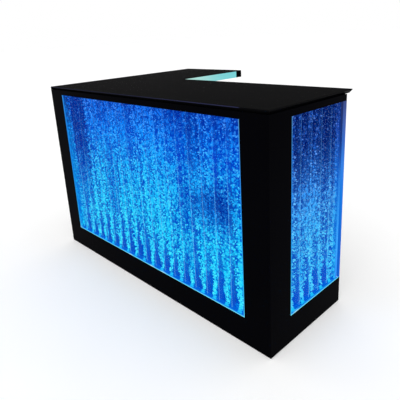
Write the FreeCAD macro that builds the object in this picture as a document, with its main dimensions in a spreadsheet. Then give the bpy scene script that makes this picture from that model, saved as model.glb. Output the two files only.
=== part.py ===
# L-shaped bar counter: two lit bubble panels in a gloss frame, a cantilevered return top, staff-side storage.
# Millimetres, +Z up. +X runs along the long front, which faces -Y.
# The origin lies under the middle of the box.
import FreeCAD, Part
import math
import os
import Sketcher

doc = FreeCAD.newDocument("BarCounter")

# Driving sizes in millimetres. Names ending in channels are counts, and rocker_tilt is in degrees.
SIZES = {
    # Whole counter
    "counter_length": 1600,
    "return_length": 1100,
    "counter_height": 1000,
    "main_depth": 525,
    "back_overhang": 45,
    "return_width": 530,
    "cabinet_depth": 250,
    "board": 18,
    "liner": 9,
    "glide_height": 4,
    "glide_radius": 7,
    # Worktops
    "top_thickness": 16,
    "top_arris": 3,
    "top_bevel": 9,
    # Frame around the panels
    "plinth_height": 130,
    "rail_height": 27,
    "corner_width": 133,
    "left_width": 127,
    "frame_lip": 5,
    "frame_rebate": 14,
    "trim_width": 8,
    "trim_cover": 3,
    # Bubble panels
    "tank_clearance": 2,
    "face_sheet": 8,
    "water_gap": 24,
    "back_sheet": 6,
    "side_strip": 18,
    "bottom_strip": 8,
    "top_strip": 10,
    "divider": 3,
    "divider_clearance": 2,
    "front_channels": 18,
    "end_channels": 5,
    "air_bar_radius": 4,
    "nozzle_radius": 2,
    "nozzle_height": 5,
    "seat_clearance": 0.3,
    "led_width": 24,
    "led_height": 14,
    "led_wall": 1.5,
    # Return edge
    "diffuser": 6,
    "return_led_depth": 8,
    "end_block": 50,
    "apron_height": 27,
    "bar_side": 25,
    # Carcass
    "service_bay": 460,
    "partition_inset": 7,
    "stretcher_depth": 80,
    "kick_setback": 60,
    "shelf_setback": 20,
    "drawer_shelf_height": 346,
    "corner_shelf_height": 436,
    "return_shelf_spacing": 280,
    "fascia_height": 150,
    "front_gap": 3,
    # Air supply
    "pump_length": 180,
    "pump_width": 110,
    "pump_height": 95,
    "pump_rounding": 12,
    "pump_foot_height": 8,
    "pump_foot_radius": 9,
    "pump_foot_inset": 22,
    "pump_boss_radius": 8,
    "pump_boss_height": 15,
    "valve_length": 80,
    "valve_side": 20,
    "barb_radius": 3.5,
    "barb_length": 20,
    "hose_radius": 5,
    "hose_clearance": 0.1,
    "stub_length": 26,
    "stem_radius": 3,
    "stem_depth": 8,
    "running_clearance": 0.05,
    "lever_hub_radius": 7,
    "lever_hub_height": 7,
    "lever_reach": 24,
    "lever_width": 6,
    "port_radius": 7,
    "port_nut_radius": 12,
    "port_nut_length": 8,
    "port_nose_radius": 6,
    "port_length": 30,
    # Controls
    "driver_length": 160,
    "driver_depth": 42,
    "driver_height": 98,
    "driver_lift": 380,
    "control_length": 190,
    "control_height": 84,
    "control_plate": 2,
    "control_spacing": 50,
    "flange": 2.5,
    "flange_border": 5,
    "inlet_length": 28,
    "inlet_height": 21,
    "inlet_depth": 24,
    "inlet_wall": 2,
    "inlet_floor": 5,
    "rocker_length": 17,
    "rocker_half": 11,
    "rocker_proud": 3,
    "rocker_dip": 1,
    "rocker_root": 7,
    "rocker_tilt": 6,
    "rocker_clearance": 1.5,
    "switch_wall": 2.5,
    "switch_depth": 24,
    # Door and drawer
    "hinge_height": 60,
    "knuckle_radius": 4.5,
    "pin_radius": 2,
    "leaf": 2,
    "frame_leaf_width": 10,
    "door_leaf_width": 30,
    "knob_inset": 45,
    "knob_drop": 110,
    "knob_stem_radius": 6,
    "knob_stem_length": 12,
    "knob_radius": 15,
    "knob_thickness": 9,
    "drawer_side": 12,
    "drawer_bottom": 6,
    "drawer_height": 110,
    "drawer_depth": 420,
    "drawer_lift": 14,
    "runner_space": 13,
    "runner_length": 400,
    "runner_bar_height": 30,
    "runner_wall": 1.5,
    "runner_clearance": 0.5,
    "runner_lip_clearance": 2,
}

sheet = doc.addObject("Spreadsheet::Sheet", "Dims")
for row, (alias, value) in enumerate(SIZES.items(), start=1):
    sheet.set(f"A{row}", alias)
    sheet.set(f"B{row}", str(value))
    sheet.setAlias(f"B{row}", alias)
doc.recompute()

# Places worked out from the sizes, as expressions
LEFT = "-Dims.counter_length / 2"
RIGHT = "Dims.counter_length / 2"
FRONT = "-Dims.return_length / 2"
BACK = "Dims.return_length / 2"
TOP = "Dims.counter_height"
FLOOR_GAP = "Dims.glide_height"
FRAME_TOP = f"{TOP} - Dims.top_thickness"
BODY_BACK = f"{FRONT} + Dims.main_depth"
TOP_BACK = f"{BODY_BACK} + Dims.back_overhang"
RETURN_INNER = f"{LEFT} + Dims.return_width"
LEFT_INSIDE = f"{LEFT} + Dims.board"
RIGHT_INSIDE = f"{RIGHT} - Dims.board"
FRONT_INSIDE = f"{FRONT} + Dims.board"
BACK_INSIDE = f"{BACK} - Dims.board"
CABINET_FACE = f"{LEFT} + Dims.cabinet_depth"

# Panel openings in the frame, and the tank that fills the rebate behind their lips
OPEN_LOW = "Dims.plinth_height"
OPEN_HIGH = f"{FRAME_TOP} - Dims.rail_height"
OPEN_LEFT = f"{LEFT} + Dims.left_width"
OPEN_RIGHT = f"{RIGHT} - Dims.corner_width"
OPEN_NEAR = f"{FRONT} + Dims.corner_width"
OPEN_FAR = f"{BODY_BACK} - Dims.trim_width"
TANK_OVERLAP = "Dims.frame_rebate - Dims.tank_clearance"
TANK_LOW = f"{OPEN_LOW} - ({TANK_OVERLAP})"
TANK_HIGH = f"{OPEN_HIGH} + {TANK_OVERLAP}"
TANK_SPANS = {
    "front": (f"{OPEN_LEFT} - ({TANK_OVERLAP})", f"{OPEN_RIGHT} + {TANK_OVERLAP}"),
    "end": (f"{OPEN_NEAR} - ({TANK_OVERLAP})", f"{BODY_BACK} - Dims.trim_cover - Dims.tank_clearance"),
}

# Depths of the panel layers, inwards from the outer face
FACE_DEPTH = "Dims.frame_lip"
WATER_DEPTH = f"{FACE_DEPTH} + Dims.face_sheet"
BACK_DEPTH = f"{WATER_DEPTH} + Dims.water_gap"
REAR_DEPTH = f"{BACK_DEPTH} + Dims.back_sheet"
LINER_DEPTHS = {
    "front": f"{REAR_DEPTH} + Dims.liner",
    "end": f"{REAR_DEPTH} + Dims.board",
}

# Carcass levels and bays, seen from the staff side
FLOOR_TOP = f"{TANK_LOW} - Dims.led_height"
FLOOR_LOW = f"{FLOOR_TOP} - Dims.board"
STRETCHER_LOW = f"{FRAME_TOP} - Dims.board"
LINER_BACK = f"{FRONT} + {LINER_DEPTHS['front']}"
DOOR_BACK = f"{BODY_BACK} - Dims.board"
SERVICE_RIGHT = f"{RIGHT} - ({LINER_DEPTHS['end']})"
SERVICE_LEFT = f"{SERVICE_RIGHT} - Dims.service_bay"
DRAWER_RIGHT = f"{SERVICE_LEFT} - Dims.board"
CORNER_RIGHT = f"{RETURN_INNER} - Dims.partition_inset"
DRAWER_LEFT = f"{CORNER_RIGHT} + Dims.board"
CORNER_LEFT = f"{CABINET_FACE} + Dims.board"
FASCIA_LOW = f"{STRETCHER_LOW} - Dims.fascia_height"

# Axes that point along the counter's own directions
DIRECTIONS = {
    "+x": FreeCAD.Vector(1, 0, 0),
    "-x": FreeCAD.Vector(-1, 0, 0),
    "+y": FreeCAD.Vector(0, 1, 0),
    "-y": FreeCAD.Vector(0, -1, 0),
    "+z": FreeCAD.Vector(0, 0, 1),
}
PLANE_AXES = {"XY_Plane": (0, 1), "YZ_Plane": (1, 2), "XZ_Plane": (0, 2)}


def between(low, high):
    """Distance from a low place to a high one."""
    return f"(({high}) - ({low}))"


def part_way(low, high, share):
    """Place at a share of the way between two places."""
    return f"({low}) + {between(low, high)} * {share}"


def middle(low, high):
    """Place half way between two places."""
    return f"(({low}) + ({high})) / 2"


def about(centre, size):
    """Pair of places that lie a size apart, evenly about a centre."""
    return (f"{centre} - ({size}) / 2", f"{centre} + ({size}) / 2")


def number(text):
    """Present value of an expression."""
    return float(sheet.evalExpression(text))


def place(item, x, y, z):
    """Bind an object's place to three expressions."""
    for axis, text in zip("xyz", (x, y, z)):
        item.setExpression(f"Placement.Base.{axis}", text)


def block(name, x, y, z):
    """Box between pairs of places along X, Y and Z."""
    box = doc.addObject("Part::Box", name)
    for size, span in zip(("Length", "Width", "Height"), (x, y, z)):
        box.setExpression(size, between(*span))
    place(box, x[0], y[0], z[0])
    return box


def rod(name, direction, radius, start, length):
    """Cylinder that runs from a start point along one of the counter's directions."""
    cylinder = doc.addObject("Part::Cylinder", name)
    turn = FreeCAD.Rotation(DIRECTIONS["+z"], DIRECTIONS[direction])
    cylinder.Placement = FreeCAD.Placement(FreeCAD.Vector(), turn)
    cylinder.setExpression("Radius", radius)
    cylinder.setExpression("Height", length)
    place(cylinder, *start)
    return cylinder


def group(name, pieces):
    """Separate solids that share one node."""
    compound = doc.addObject("Part::Compound", name)
    compound.Links = pieces
    return compound


def joined(name, pieces):
    """One solid from pieces that run into each other."""
    fusion = doc.addObject("Part::MultiFuse", name)
    fusion.Shapes = pieces
    return fusion


def cut(name, base, tools):
    """A base with openings taken out of it."""
    result = doc.addObject("Part::Cut", name)
    result.Base = base
    result.Tool = group(f"{name}_openings", tools)
    return result


def outline_sketch(body, plane, outline, start):
    """Closed sketch on an origin plane, each corner bound to its place measured from the start."""
    across, up = PLANE_AXES[plane]
    corners = [(between(start[across], u), between(start[up], v)) for u, v in outline]
    sketch = body.newObject("Sketcher::SketchObject", f"{body.Name}_outline")
    support = next(item for item in body.Origin.OriginFeatures if item.Role == plane)
    sketch.AttachmentSupport = [(support, "")]
    sketch.MapMode = "FlatFace"
    points = [FreeCAD.Vector(number(u), number(v), 0) for u, v in corners]
    for index, point in enumerate(points):
        following = points[(index + 1) % len(points)]
        sketch.addGeometry(Part.LineSegment(point, following), False)
    for index in range(len(points)):
        sketch.addConstraint(Sketcher.Constraint("Coincident", index, 2, (index + 1) % len(points), 1))
    for index, (corner, point) in enumerate(zip(corners, points)):
        for kind, text, present in zip(("DistanceX", "DistanceY"), corner, point):
            constraint = sketch.addConstraint(Sketcher.Constraint(kind, -1, 1, index, 1, present))
            sketch.setExpression(f"Constraints[{constraint}]", text)
    return sketch


def profile(name, plane, outline, length, start):
    """Board padded from an outline of places, from its start towards the positive side of the plane."""
    body = doc.addObject("PartDesign::Body", name)
    pad = body.newObject("PartDesign::Pad", f"{name}_pad")
    pad.Profile = outline_sketch(body, plane, outline, start)
    pad.setExpression("Length", length)
    pad.Reversed = plane == "XZ_Plane"
    body.Tip = pad
    place(body, *start)
    return body


def panel_block(name, side, along, depth, z):
    """Box in a panel's own terms: along the panel, inwards from its outer face, and up."""
    near, far = depth
    if side == "front":
        return block(name, along, (f"{FRONT} + {near}", f"{FRONT} + {far}"), z)
    return block(name, (f"{RIGHT} - ({far})", f"{RIGHT} - ({near})"), along, z)


def panel_rod(name, side, radius, along, depth, z):
    """Rod square to a panel, at a place along it, from one depth inwards to another."""
    near, far = depth
    if side == "front":
        return rod(name, "+y", radius, (along, f"{FRONT} + {near}", z), between(near, far))
    return rod(name, "-x", radius, (f"{RIGHT} - ({near})", along, z), between(near, far))


def panel_pipe(name, side, radius, along, depth, z):
    """Rod that runs along a panel at one depth."""
    low, high = along
    if side == "front":
        return rod(name, "+x", radius, (low, f"{FRONT} + {depth}", z), between(low, high))
    return rod(name, "+y", radius, (f"{RIGHT} - ({depth})", low, z), between(low, high))


# Worktops: a thin square arris over an undercut bevel on all four sides, butted where the legs meet
def worktop(name, x, y):
    body = doc.addObject("PartDesign::Body", name)
    start = (x[0], y[0], f"{TOP} - Dims.top_arris")
    corners = [(x[0], y[0]), (x[1], y[0]), (x[1], y[1]), (x[0], y[1])]
    sketch = outline_sketch(body, "XY_Plane", corners, start)
    arris = body.newObject("PartDesign::Pad", f"{name}_arris")
    arris.Profile = sketch
    arris.setExpression("Length", "Dims.top_arris")
    bevel = body.newObject("PartDesign::Pad", f"{name}_bevel")
    bevel.Profile = sketch
    bevel.Reversed = True
    bevel.setExpression("Length", "Dims.top_thickness - Dims.top_arris")
    bevel.setExpression("TaperAngle", "-atan(Dims.top_bevel / (Dims.top_thickness - Dims.top_arris))")
    body.Tip = bevel
    place(body, *start)
    return body


worktop_main = worktop("worktop_main", (LEFT, RIGHT), (FRONT, TOP_BACK))
worktop_return = worktop("worktop_return", (LEFT, RETURN_INNER), (TOP_BACK, BACK))

# Corner post and left post: mitred boards with a rebate along the panel opening
FRONT_LIP = f"{FRONT} + Dims.frame_lip"
RIGHT_LIP = f"{RIGHT} - Dims.frame_lip"
POST_HEIGHT = between(FLOOR_GAP, FRAME_TOP)

corner_post_front = profile("corner_post_front", "XY_Plane", [
    (OPEN_RIGHT, FRONT),
    (RIGHT, FRONT),
    (RIGHT_INSIDE, FRONT_INSIDE),
    (f"{OPEN_RIGHT} + Dims.frame_rebate", FRONT_INSIDE),
    (f"{OPEN_RIGHT} + Dims.frame_rebate", FRONT_LIP),
    (OPEN_RIGHT, FRONT_LIP),
], POST_HEIGHT, (OPEN_RIGHT, FRONT, FLOOR_GAP))

corner_post_end = profile("corner_post_end", "XY_Plane", [
    (RIGHT, FRONT),
    (RIGHT, OPEN_NEAR),
    (RIGHT_LIP, OPEN_NEAR),
    (RIGHT_LIP, f"{OPEN_NEAR} - Dims.frame_rebate"),
    (RIGHT_INSIDE, f"{OPEN_NEAR} - Dims.frame_rebate"),
    (RIGHT_INSIDE, FRONT_INSIDE),
], POST_HEIGHT, (RIGHT_INSIDE, FRONT, FLOOR_GAP))

left_post = profile("left_post", "XY_Plane", [
    (LEFT, FRONT),
    (OPEN_LEFT, FRONT),
    (OPEN_LEFT, FRONT_LIP),
    (f"{OPEN_LEFT} - Dims.frame_rebate", FRONT_LIP),
    (f"{OPEN_LEFT} - Dims.frame_rebate", FRONT_INSIDE),
    (LEFT_INSIDE, FRONT_INSIDE),
], POST_HEIGHT, (LEFT, FRONT, FLOOR_GAP))

outer_side_panel = profile("outer_side_panel", "XY_Plane", [
    (LEFT, FRONT),
    (LEFT_INSIDE, FRONT_INSIDE),
    (LEFT_INSIDE, BACK),
    (LEFT, BACK),
], POST_HEIGHT, (LEFT, FRONT, FLOOR_GAP))

# Plinths and top rails: boards between the posts with a rebate behind the lip of the opening
PLINTH_STEP = f"{OPEN_LOW} - Dims.frame_rebate"
RAIL_STEP = f"{OPEN_HIGH} + Dims.frame_rebate"

front_plinth = profile("front_plinth", "YZ_Plane", [
    (FRONT, FLOOR_GAP),
    (FRONT_INSIDE, FLOOR_GAP),
    (FRONT_INSIDE, PLINTH_STEP),
    (FRONT_LIP, PLINTH_STEP),
    (FRONT_LIP, OPEN_LOW),
    (FRONT, OPEN_LOW),
], between(OPEN_LEFT, OPEN_RIGHT), (OPEN_LEFT, FRONT, FLOOR_GAP))

front_top_rail = profile("front_top_rail", "YZ_Plane", [
    (FRONT, OPEN_HIGH),
    (FRONT_LIP, OPEN_HIGH),
    (FRONT_LIP, RAIL_STEP),
    (FRONT_INSIDE, RAIL_STEP),
    (FRONT_INSIDE, FRAME_TOP),
    (FRONT, FRAME_TOP),
], between(OPEN_LEFT, OPEN_RIGHT), (OPEN_LEFT, FRONT, OPEN_HIGH))

end_plinth = profile("end_plinth", "XZ_Plane", [
    (RIGHT_INSIDE, FLOOR_GAP),
    (RIGHT, FLOOR_GAP),
    (RIGHT, OPEN_LOW),
    (RIGHT_LIP, OPEN_LOW),
    (RIGHT_LIP, PLINTH_STEP),
    (RIGHT_INSIDE, PLINTH_STEP),
], between(OPEN_NEAR, BODY_BACK), (RIGHT_INSIDE, OPEN_NEAR, FLOOR_GAP))

end_top_rail = profile("end_top_rail", "XZ_Plane", [
    (RIGHT_LIP, OPEN_HIGH),
    (RIGHT, OPEN_HIGH),
    (RIGHT, FRAME_TOP),
    (RIGHT_INSIDE, FRAME_TOP),
    (RIGHT_INSIDE, RAIL_STEP),
    (RIGHT_LIP, RAIL_STEP),
], between(OPEN_NEAR, BODY_BACK), (RIGHT_INSIDE, OPEN_NEAR, OPEN_HIGH))

# Back trim of the end panel: an angle whose thin lip faces the end and whose flange closes the tank's edge
TRIM_INNER = f"{RIGHT} - ({REAR_DEPTH})"
TRIM_COVER = f"{BODY_BACK} - Dims.trim_cover"

end_back_trim = profile("end_back_trim", "XY_Plane", [
    (RIGHT, OPEN_FAR),
    (RIGHT, BODY_BACK),
    (TRIM_INNER, BODY_BACK),
    (TRIM_INNER, TRIM_COVER),
    (RIGHT_LIP, TRIM_COVER),
    (RIGHT_LIP, OPEN_FAR),
], between(OPEN_LOW, OPEN_HIGH), (TRIM_INNER, OPEN_FAR, OPEN_LOW))

# Carcass boards: floors, kickboards, liners behind the tanks, partitions, end panel and stretchers
main_floor = block(
    "main_floor", (LEFT_INSIDE, RIGHT_INSIDE), (FRONT_INSIDE, BODY_BACK), (FLOOR_LOW, FLOOR_TOP)
)
return_floor = block(
    "return_floor", (LEFT_INSIDE, CABINET_FACE), (BODY_BACK, BACK_INSIDE), (FLOOR_LOW, FLOOR_TOP)
)

KICK_FACE = f"{BODY_BACK} - Dims.kick_setback"
KICK_BACK = f"{KICK_FACE} - Dims.board"
RETURN_KICK_FACE = f"{CABINET_FACE} - Dims.kick_setback"
RETURN_KICK_BACK = f"{RETURN_KICK_FACE} - Dims.board"
kick_height = (FLOOR_GAP, FLOOR_LOW)
kickboards = group("kickboards", [
    block("main_kickboard", (RETURN_KICK_BACK, RIGHT_INSIDE), (KICK_BACK, KICK_FACE), kick_height),
    block("return_kickboard", (RETURN_KICK_BACK, RETURN_KICK_FACE), (KICK_FACE, BACK_INSIDE), kick_height),
])
return_end_panel = block(
    "return_end_panel", (LEFT_INSIDE, CABINET_FACE), (BACK_INSIDE, BACK), (FLOOR_GAP, FRAME_TOP)
)

partition_lefts = (CABINET_FACE, CORNER_RIGHT, DRAWER_RIGHT)
partitions = group("partitions", [
    block(
        f"partition_{index}",
        (left, f"{left} + Dims.board"),
        (LINER_BACK, BODY_BACK),
        (FLOOR_TOP, FRAME_TOP),
    )
    for index, left in enumerate(partition_lefts)
])

STRETCHER_FACE = f"{BODY_BACK} - Dims.stretcher_depth"
RETURN_STRETCHER_TOP = f"{FRAME_TOP} - Dims.bar_side"
bays = ((CORNER_LEFT, CORNER_RIGHT), (DRAWER_LEFT, DRAWER_RIGHT), (SERVICE_LEFT, SERVICE_RIGHT))
stretchers = [
    block(f"stretcher_{index}", bay, (STRETCHER_FACE, BODY_BACK), (STRETCHER_LOW, FRAME_TOP))
    for index, bay in enumerate(bays)
]
return_stretcher = block(
    "return_stretcher",
    (f"{CABINET_FACE} - Dims.stretcher_depth", CABINET_FACE),
    (LINER_BACK, BACK_INSIDE),
    (f"{RETURN_STRETCHER_TOP} - Dims.board", RETURN_STRETCHER_TOP),
)
top_stretchers = group("top_stretchers", stretchers + [return_stretcher])

# Shelves: one in the drawer bay, one in the corner bay, two through the return cabinet
main_shelf_depth = (LINER_BACK, f"{BODY_BACK} - Dims.shelf_setback")


def shelf(name, x, y, lift):
    low = f"{FLOOR_TOP} + {lift}"
    return block(name, x, y, (low, f"{low} + Dims.board"))


return_boards = [
    shelf(
        f"return_shelf_{step}",
        (LEFT_INSIDE, f"{CABINET_FACE} - Dims.shelf_setback"),
        (LINER_BACK, BACK_INSIDE),
        f"Dims.return_shelf_spacing * {step}",
    )
    for step in (1, 2)
]
shelves = group("shelves", [
    shelf("drawer_bay_shelf", (DRAWER_LEFT, DRAWER_RIGHT), main_shelf_depth, "Dims.drawer_shelf_height"),
    shelf("corner_bay_shelf", (CORNER_LEFT, CORNER_RIGHT), main_shelf_depth, "Dims.corner_shelf_height"),
    *return_boards,
])

# Return edge: cantilever bars under the top, aprons, the glowing diffuser and a dark end block
LED_FACE = f"{RETURN_INNER} - Dims.diffuser"
APRON_FACE = f"{LED_FACE} - Dims.return_led_depth"
APRON_LOW = f"{FRAME_TOP} - Dims.apron_height"
BLOCK_START = f"{BACK} - Dims.end_block"
BEVEL_RISE = "(Dims.top_thickness - Dims.top_arris) * (1 - Dims.diffuser / Dims.top_bevel)"
DIFFUSER_TOP = f"{FRAME_TOP} + {BEVEL_RISE} - Dims.seat_clearance"

inner_apron = block(
    "inner_apron",
    (f"{APRON_FACE} - Dims.board", APRON_FACE),
    (BODY_BACK, BACK_INSIDE),
    (APRON_LOW, FRAME_TOP),
)
end_apron = block("end_apron", (CABINET_FACE, APRON_FACE), (BACK_INSIDE, BACK), (APRON_LOW, FRAME_TOP))
return_aprons = group("return_aprons", [inner_apron, end_apron])

bar_place_shares = (0.3, 0.8)
cantilever_bars = group("cantilever_bars", [
    block(
        f"cantilever_bar_{index}",
        (LEFT_INSIDE, f"{APRON_FACE} - Dims.board"),
        about(part_way(TOP_BACK, BACK, share), "Dims.bar_side"),
        (RETURN_STRETCHER_TOP, FRAME_TOP),
    )
    for index, share in enumerate(bar_place_shares)
])
return_light_diffuser = block(
    "return_light_diffuser", (LED_FACE, RETURN_INNER), (TOP_BACK, BLOCK_START), (APRON_LOW, DIFFUSER_TOP)
)
return_end_block = block(
    "return_end_block", (APRON_FACE, RETURN_INNER), (BLOCK_START, BACK), (APRON_LOW, FRAME_TOP)
)

# Service bay: its middle, and the heights of the pump, its valve and the air bars
SERVICE_X = middle(SERVICE_LEFT, SERVICE_RIGHT)
SERVICE_Y = middle(LINER_BACK, DOOR_BACK)
PUMP_LOW = f"{FLOOR_TOP} + Dims.pump_foot_height"
PUMP_TOP = f"{PUMP_LOW} + Dims.pump_height"
VALVE_LOW = f"{PUMP_TOP} + Dims.pump_boss_height"
VALVE_TOP = f"{VALVE_LOW} + Dims.valve_side"
OUTLET_HEIGHT = f"{VALVE_LOW} + Dims.valve_side / 2"
BAR_HEIGHT = f"{TANK_LOW} + Dims.bottom_strip + Dims.seat_clearance + Dims.air_bar_radius"
PORT_HEIGHT = f"{TANK_LOW} + Dims.bottom_strip + Dims.port_nut_radius"
STUB_PLACES = {"front": f"{SERVICE_X} - Dims.valve_length / 4", "end": SERVICE_Y}
PORT_PLACES = {"front": f"{SERVICE_X} + Dims.pump_length / 2", "end": f"{SERVICE_Y} + Dims.pump_length / 2"}


# Holes for the air stub and the drain coupling, through the sheets that lie between two depths
def service_holes(name, side, depth):
    stub_radius = "Dims.barb_radius + Dims.seat_clearance"
    port_radius = "Dims.port_radius + Dims.seat_clearance"
    stub = panel_rod(f"{name}_stub_hole", side, stub_radius, STUB_PLACES[side], depth, BAR_HEIGHT)
    port = panel_rod(f"{name}_port_hole", side, port_radius, PORT_PLACES[side], depth, PORT_HEIGHT)
    return [stub, port]


# Bubble panel: face sheet, back sheet, edge strips, channel dividers and a nozzled air bar
def bubble_panel(side):
    low, high = TANK_SPANS[side]
    inner_low = f"{low} + Dims.side_strip"
    inner_high = f"{high} - Dims.side_strip"
    channels = int(sheet.get(f"{side}_channels"))
    pitch = f"{between(inner_low, inner_high)} / Dims.{side}_channels"
    water = (WATER_DEPTH, BACK_DEPTH)
    full = (TANK_LOW, TANK_HIGH)
    strip_low = f"{TANK_LOW} + Dims.bottom_strip"
    strip_high = f"{TANK_HIGH} - Dims.top_strip"

    face = panel_block(f"{side}_tank_face", side, (low, high), (FACE_DEPTH, WATER_DEPTH), full)
    sheet_blank = panel_block(f"{side}_back_blank", side, (low, high), (BACK_DEPTH, REAR_DEPTH), full)
    back_holes = service_holes(f"{side}_back", side, (BACK_DEPTH, REAR_DEPTH))
    back = cut(f"{side}_tank_back", sheet_blank, back_holes)
    edges = group(f"{side}_tank_edges", [
        panel_block(f"{side}_edge_low", side, (low, inner_low), water, full),
        panel_block(f"{side}_edge_high", side, (inner_high, high), water, full),
        panel_block(f"{side}_edge_bottom", side, (inner_low, inner_high), water, (TANK_LOW, strip_low)),
        panel_block(f"{side}_edge_top", side, (inner_low, inner_high), water, (strip_high, TANK_HIGH)),
    ])
    divider_low = f"{BAR_HEIGHT} + Dims.air_bar_radius + Dims.divider_clearance"
    dividers = group(f"{side}_tank_dividers", [
        panel_block(
            f"{side}_divider_{index}",
            side,
            about(f"{inner_low} + {pitch} * {index}", "Dims.divider"),
            water,
            (divider_low, strip_high),
        )
        for index in range(1, channels)
    ])
    bar_depth = middle(WATER_DEPTH, BACK_DEPTH)
    stub_end = f"{LINER_DEPTHS[side]} + Dims.stub_length"
    inner = (inner_low, inner_high)
    pipe = panel_pipe(f"{side}_air_pipe", side, "Dims.air_bar_radius", inner, bar_depth, BAR_HEIGHT)
    stub = panel_rod(
        f"{side}_air_stub", side, "Dims.barb_radius", STUB_PLACES[side], (bar_depth, stub_end), BAR_HEIGHT
    )
    nozzles = []
    for index in range(channels):
        along = f"{inner_low} + {pitch} * ({index} + 1 / 2)"
        centre = (along, f"{FRONT} + {bar_depth}") if side == "front" else (f"{RIGHT} - {bar_depth}", along)
        rise = "Dims.air_bar_radius + Dims.nozzle_height"
        nozzles.append(rod(f"{side}_nozzle_{index}", "+z", "Dims.nozzle_radius", (*centre, BAR_HEIGHT), rise))
    air_bar = joined(f"{side}_air_bar", [pipe, stub] + nozzles)
    return [face, back, edges, dividers, air_bar]


front_panel = bubble_panel("front")
end_panel = bubble_panel("end")

# Liners that back the tanks and carry the worktop, with the holes for the air stub and the drain coupling
front_liner = cut(
    "front_liner",
    block(
        "front_liner_blank",
        (LEFT_INSIDE, f"{RIGHT} - ({REAR_DEPTH})"),
        (f"{FRONT} + {REAR_DEPTH}", LINER_BACK),
        (FLOOR_TOP, FRAME_TOP),
    ),
    service_holes("front_liner", "front", (REAR_DEPTH, LINER_DEPTHS["front"])),
)
end_liner = cut(
    "end_liner",
    block(
        "end_liner_blank",
        (SERVICE_RIGHT, f"{RIGHT} - ({REAR_DEPTH})"),
        (LINER_BACK, BODY_BACK),
        (FLOOR_TOP, FRAME_TOP),
    ),
    service_holes("end_liner", "end", (REAR_DEPTH, LINER_DEPTHS["end"])),
)

# Light channels: open aluminium sections under both tanks, and one behind the return diffuser
LED_CORE = ("Dims.board + Dims.led_wall", "Dims.board + Dims.led_width - Dims.led_wall")


def tank_channel(side):
    along = TANK_SPANS[side]
    section = ("Dims.board", "Dims.board + Dims.led_width")
    bar = panel_block(f"{side}_channel_bar", side, along, section, (FLOOR_TOP, TANK_LOW))
    groove_height = (f"{FLOOR_TOP} + Dims.led_wall", TANK_LOW)
    groove = panel_block(f"{side}_channel_groove", side, along, LED_CORE, groove_height)
    return cut(f"{side}_channel", bar, [groove])


def return_channel():
    run = (TOP_BACK, BLOCK_START)
    bar = block("return_channel_bar", (APRON_FACE, LED_FACE), run, (APRON_LOW, FRAME_TOP))
    groove = block(
        "return_channel_groove",
        (f"{APRON_FACE} + Dims.led_wall", LED_FACE),
        run,
        (f"{APRON_LOW} + Dims.led_wall", f"{FRAME_TOP} - Dims.led_wall"),
    )
    return cut("return_channel", bar, [groove])


led_channels = group("led_channels", [tank_channel("front"), tank_channel("end"), return_channel()])


# Drain couplings: a threaded body through the back sheet and liner, its nut, and a self-closing nose
def drain_port(side):
    along = PORT_PLACES[side]
    liner = LINER_DEPTHS[side]
    nut_end = f"{liner} + Dims.port_nut_length"
    return joined(f"{side}_drain_port", [
        panel_rod(f"{side}_port_body", side, "Dims.port_radius", along, (BACK_DEPTH, nut_end), PORT_HEIGHT),
        panel_rod(f"{side}_port_nut", side, "Dims.port_nut_radius", along, (liner, nut_end), PORT_HEIGHT),
        panel_rod(
            f"{side}_port_nose",
            side,
            "Dims.port_nose_radius",
            along,
            (nut_end, f"{liner} + Dims.port_length"),
            PORT_HEIGHT,
        ),
    ])


drain_ports = group("drain_ports", [drain_port("front"), drain_port("end")])


# Air pump: a rounded cast case with an outlet boss, on four rubber feet
def pump_case():
    body = doc.addObject("PartDesign::Body", "pump_case")
    x = about(SERVICE_X, "Dims.pump_length")
    y = about(SERVICE_Y, "Dims.pump_width")
    start = (x[0], y[0], PUMP_LOW)
    corners = [(x[0], y[0]), (x[1], y[0]), (x[1], y[1]), (x[0], y[1])]
    pad = body.newObject("PartDesign::Pad", "pump_case_pad")
    pad.Profile = outline_sketch(body, "XY_Plane", corners, start)
    pad.setExpression("Length", "Dims.pump_height")
    doc.recompute()
    top = number("Dims.pump_height")
    rounded = []
    for index, edge in enumerate(pad.Shape.Edges, start=1):
        heights = [vertex.Z for vertex in edge.Vertexes]
        if max(heights) > top / 2:
            rounded.append(f"Edge{index}")
    fillet = body.newObject("PartDesign::Fillet", "pump_case_rounding")
    fillet.Base = (pad, rounded)
    fillet.setExpression("Radius", "Dims.pump_rounding")
    body.Tip = fillet
    place(body, *start)
    return body


boss_foot = (SERVICE_X, SERVICE_Y, PUMP_TOP)
pump_boss = rod("pump_boss", "+z", "Dims.pump_boss_radius", boss_foot, "Dims.pump_boss_height")
air_pump = joined("air_pump", [pump_case(), pump_boss])

foot_reach_x = "Dims.pump_length / 2 - Dims.pump_foot_inset"
foot_reach_y = "Dims.pump_width / 2 - Dims.pump_foot_inset"
pump_feet = group("pump_feet", [
    rod(
        f"pump_foot_{index}",
        "+z",
        "Dims.pump_foot_radius",
        (
            f"{SERVICE_X} + {side_x} * ({foot_reach_x})",
            f"{SERVICE_Y} + {side_y} * ({foot_reach_y})",
            FLOOR_TOP,
        ),
        "Dims.pump_foot_height",
    )
    for index, (side_x, side_y) in enumerate(((-1, -1), (1, -1), (1, 1), (-1, 1)))
])

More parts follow.
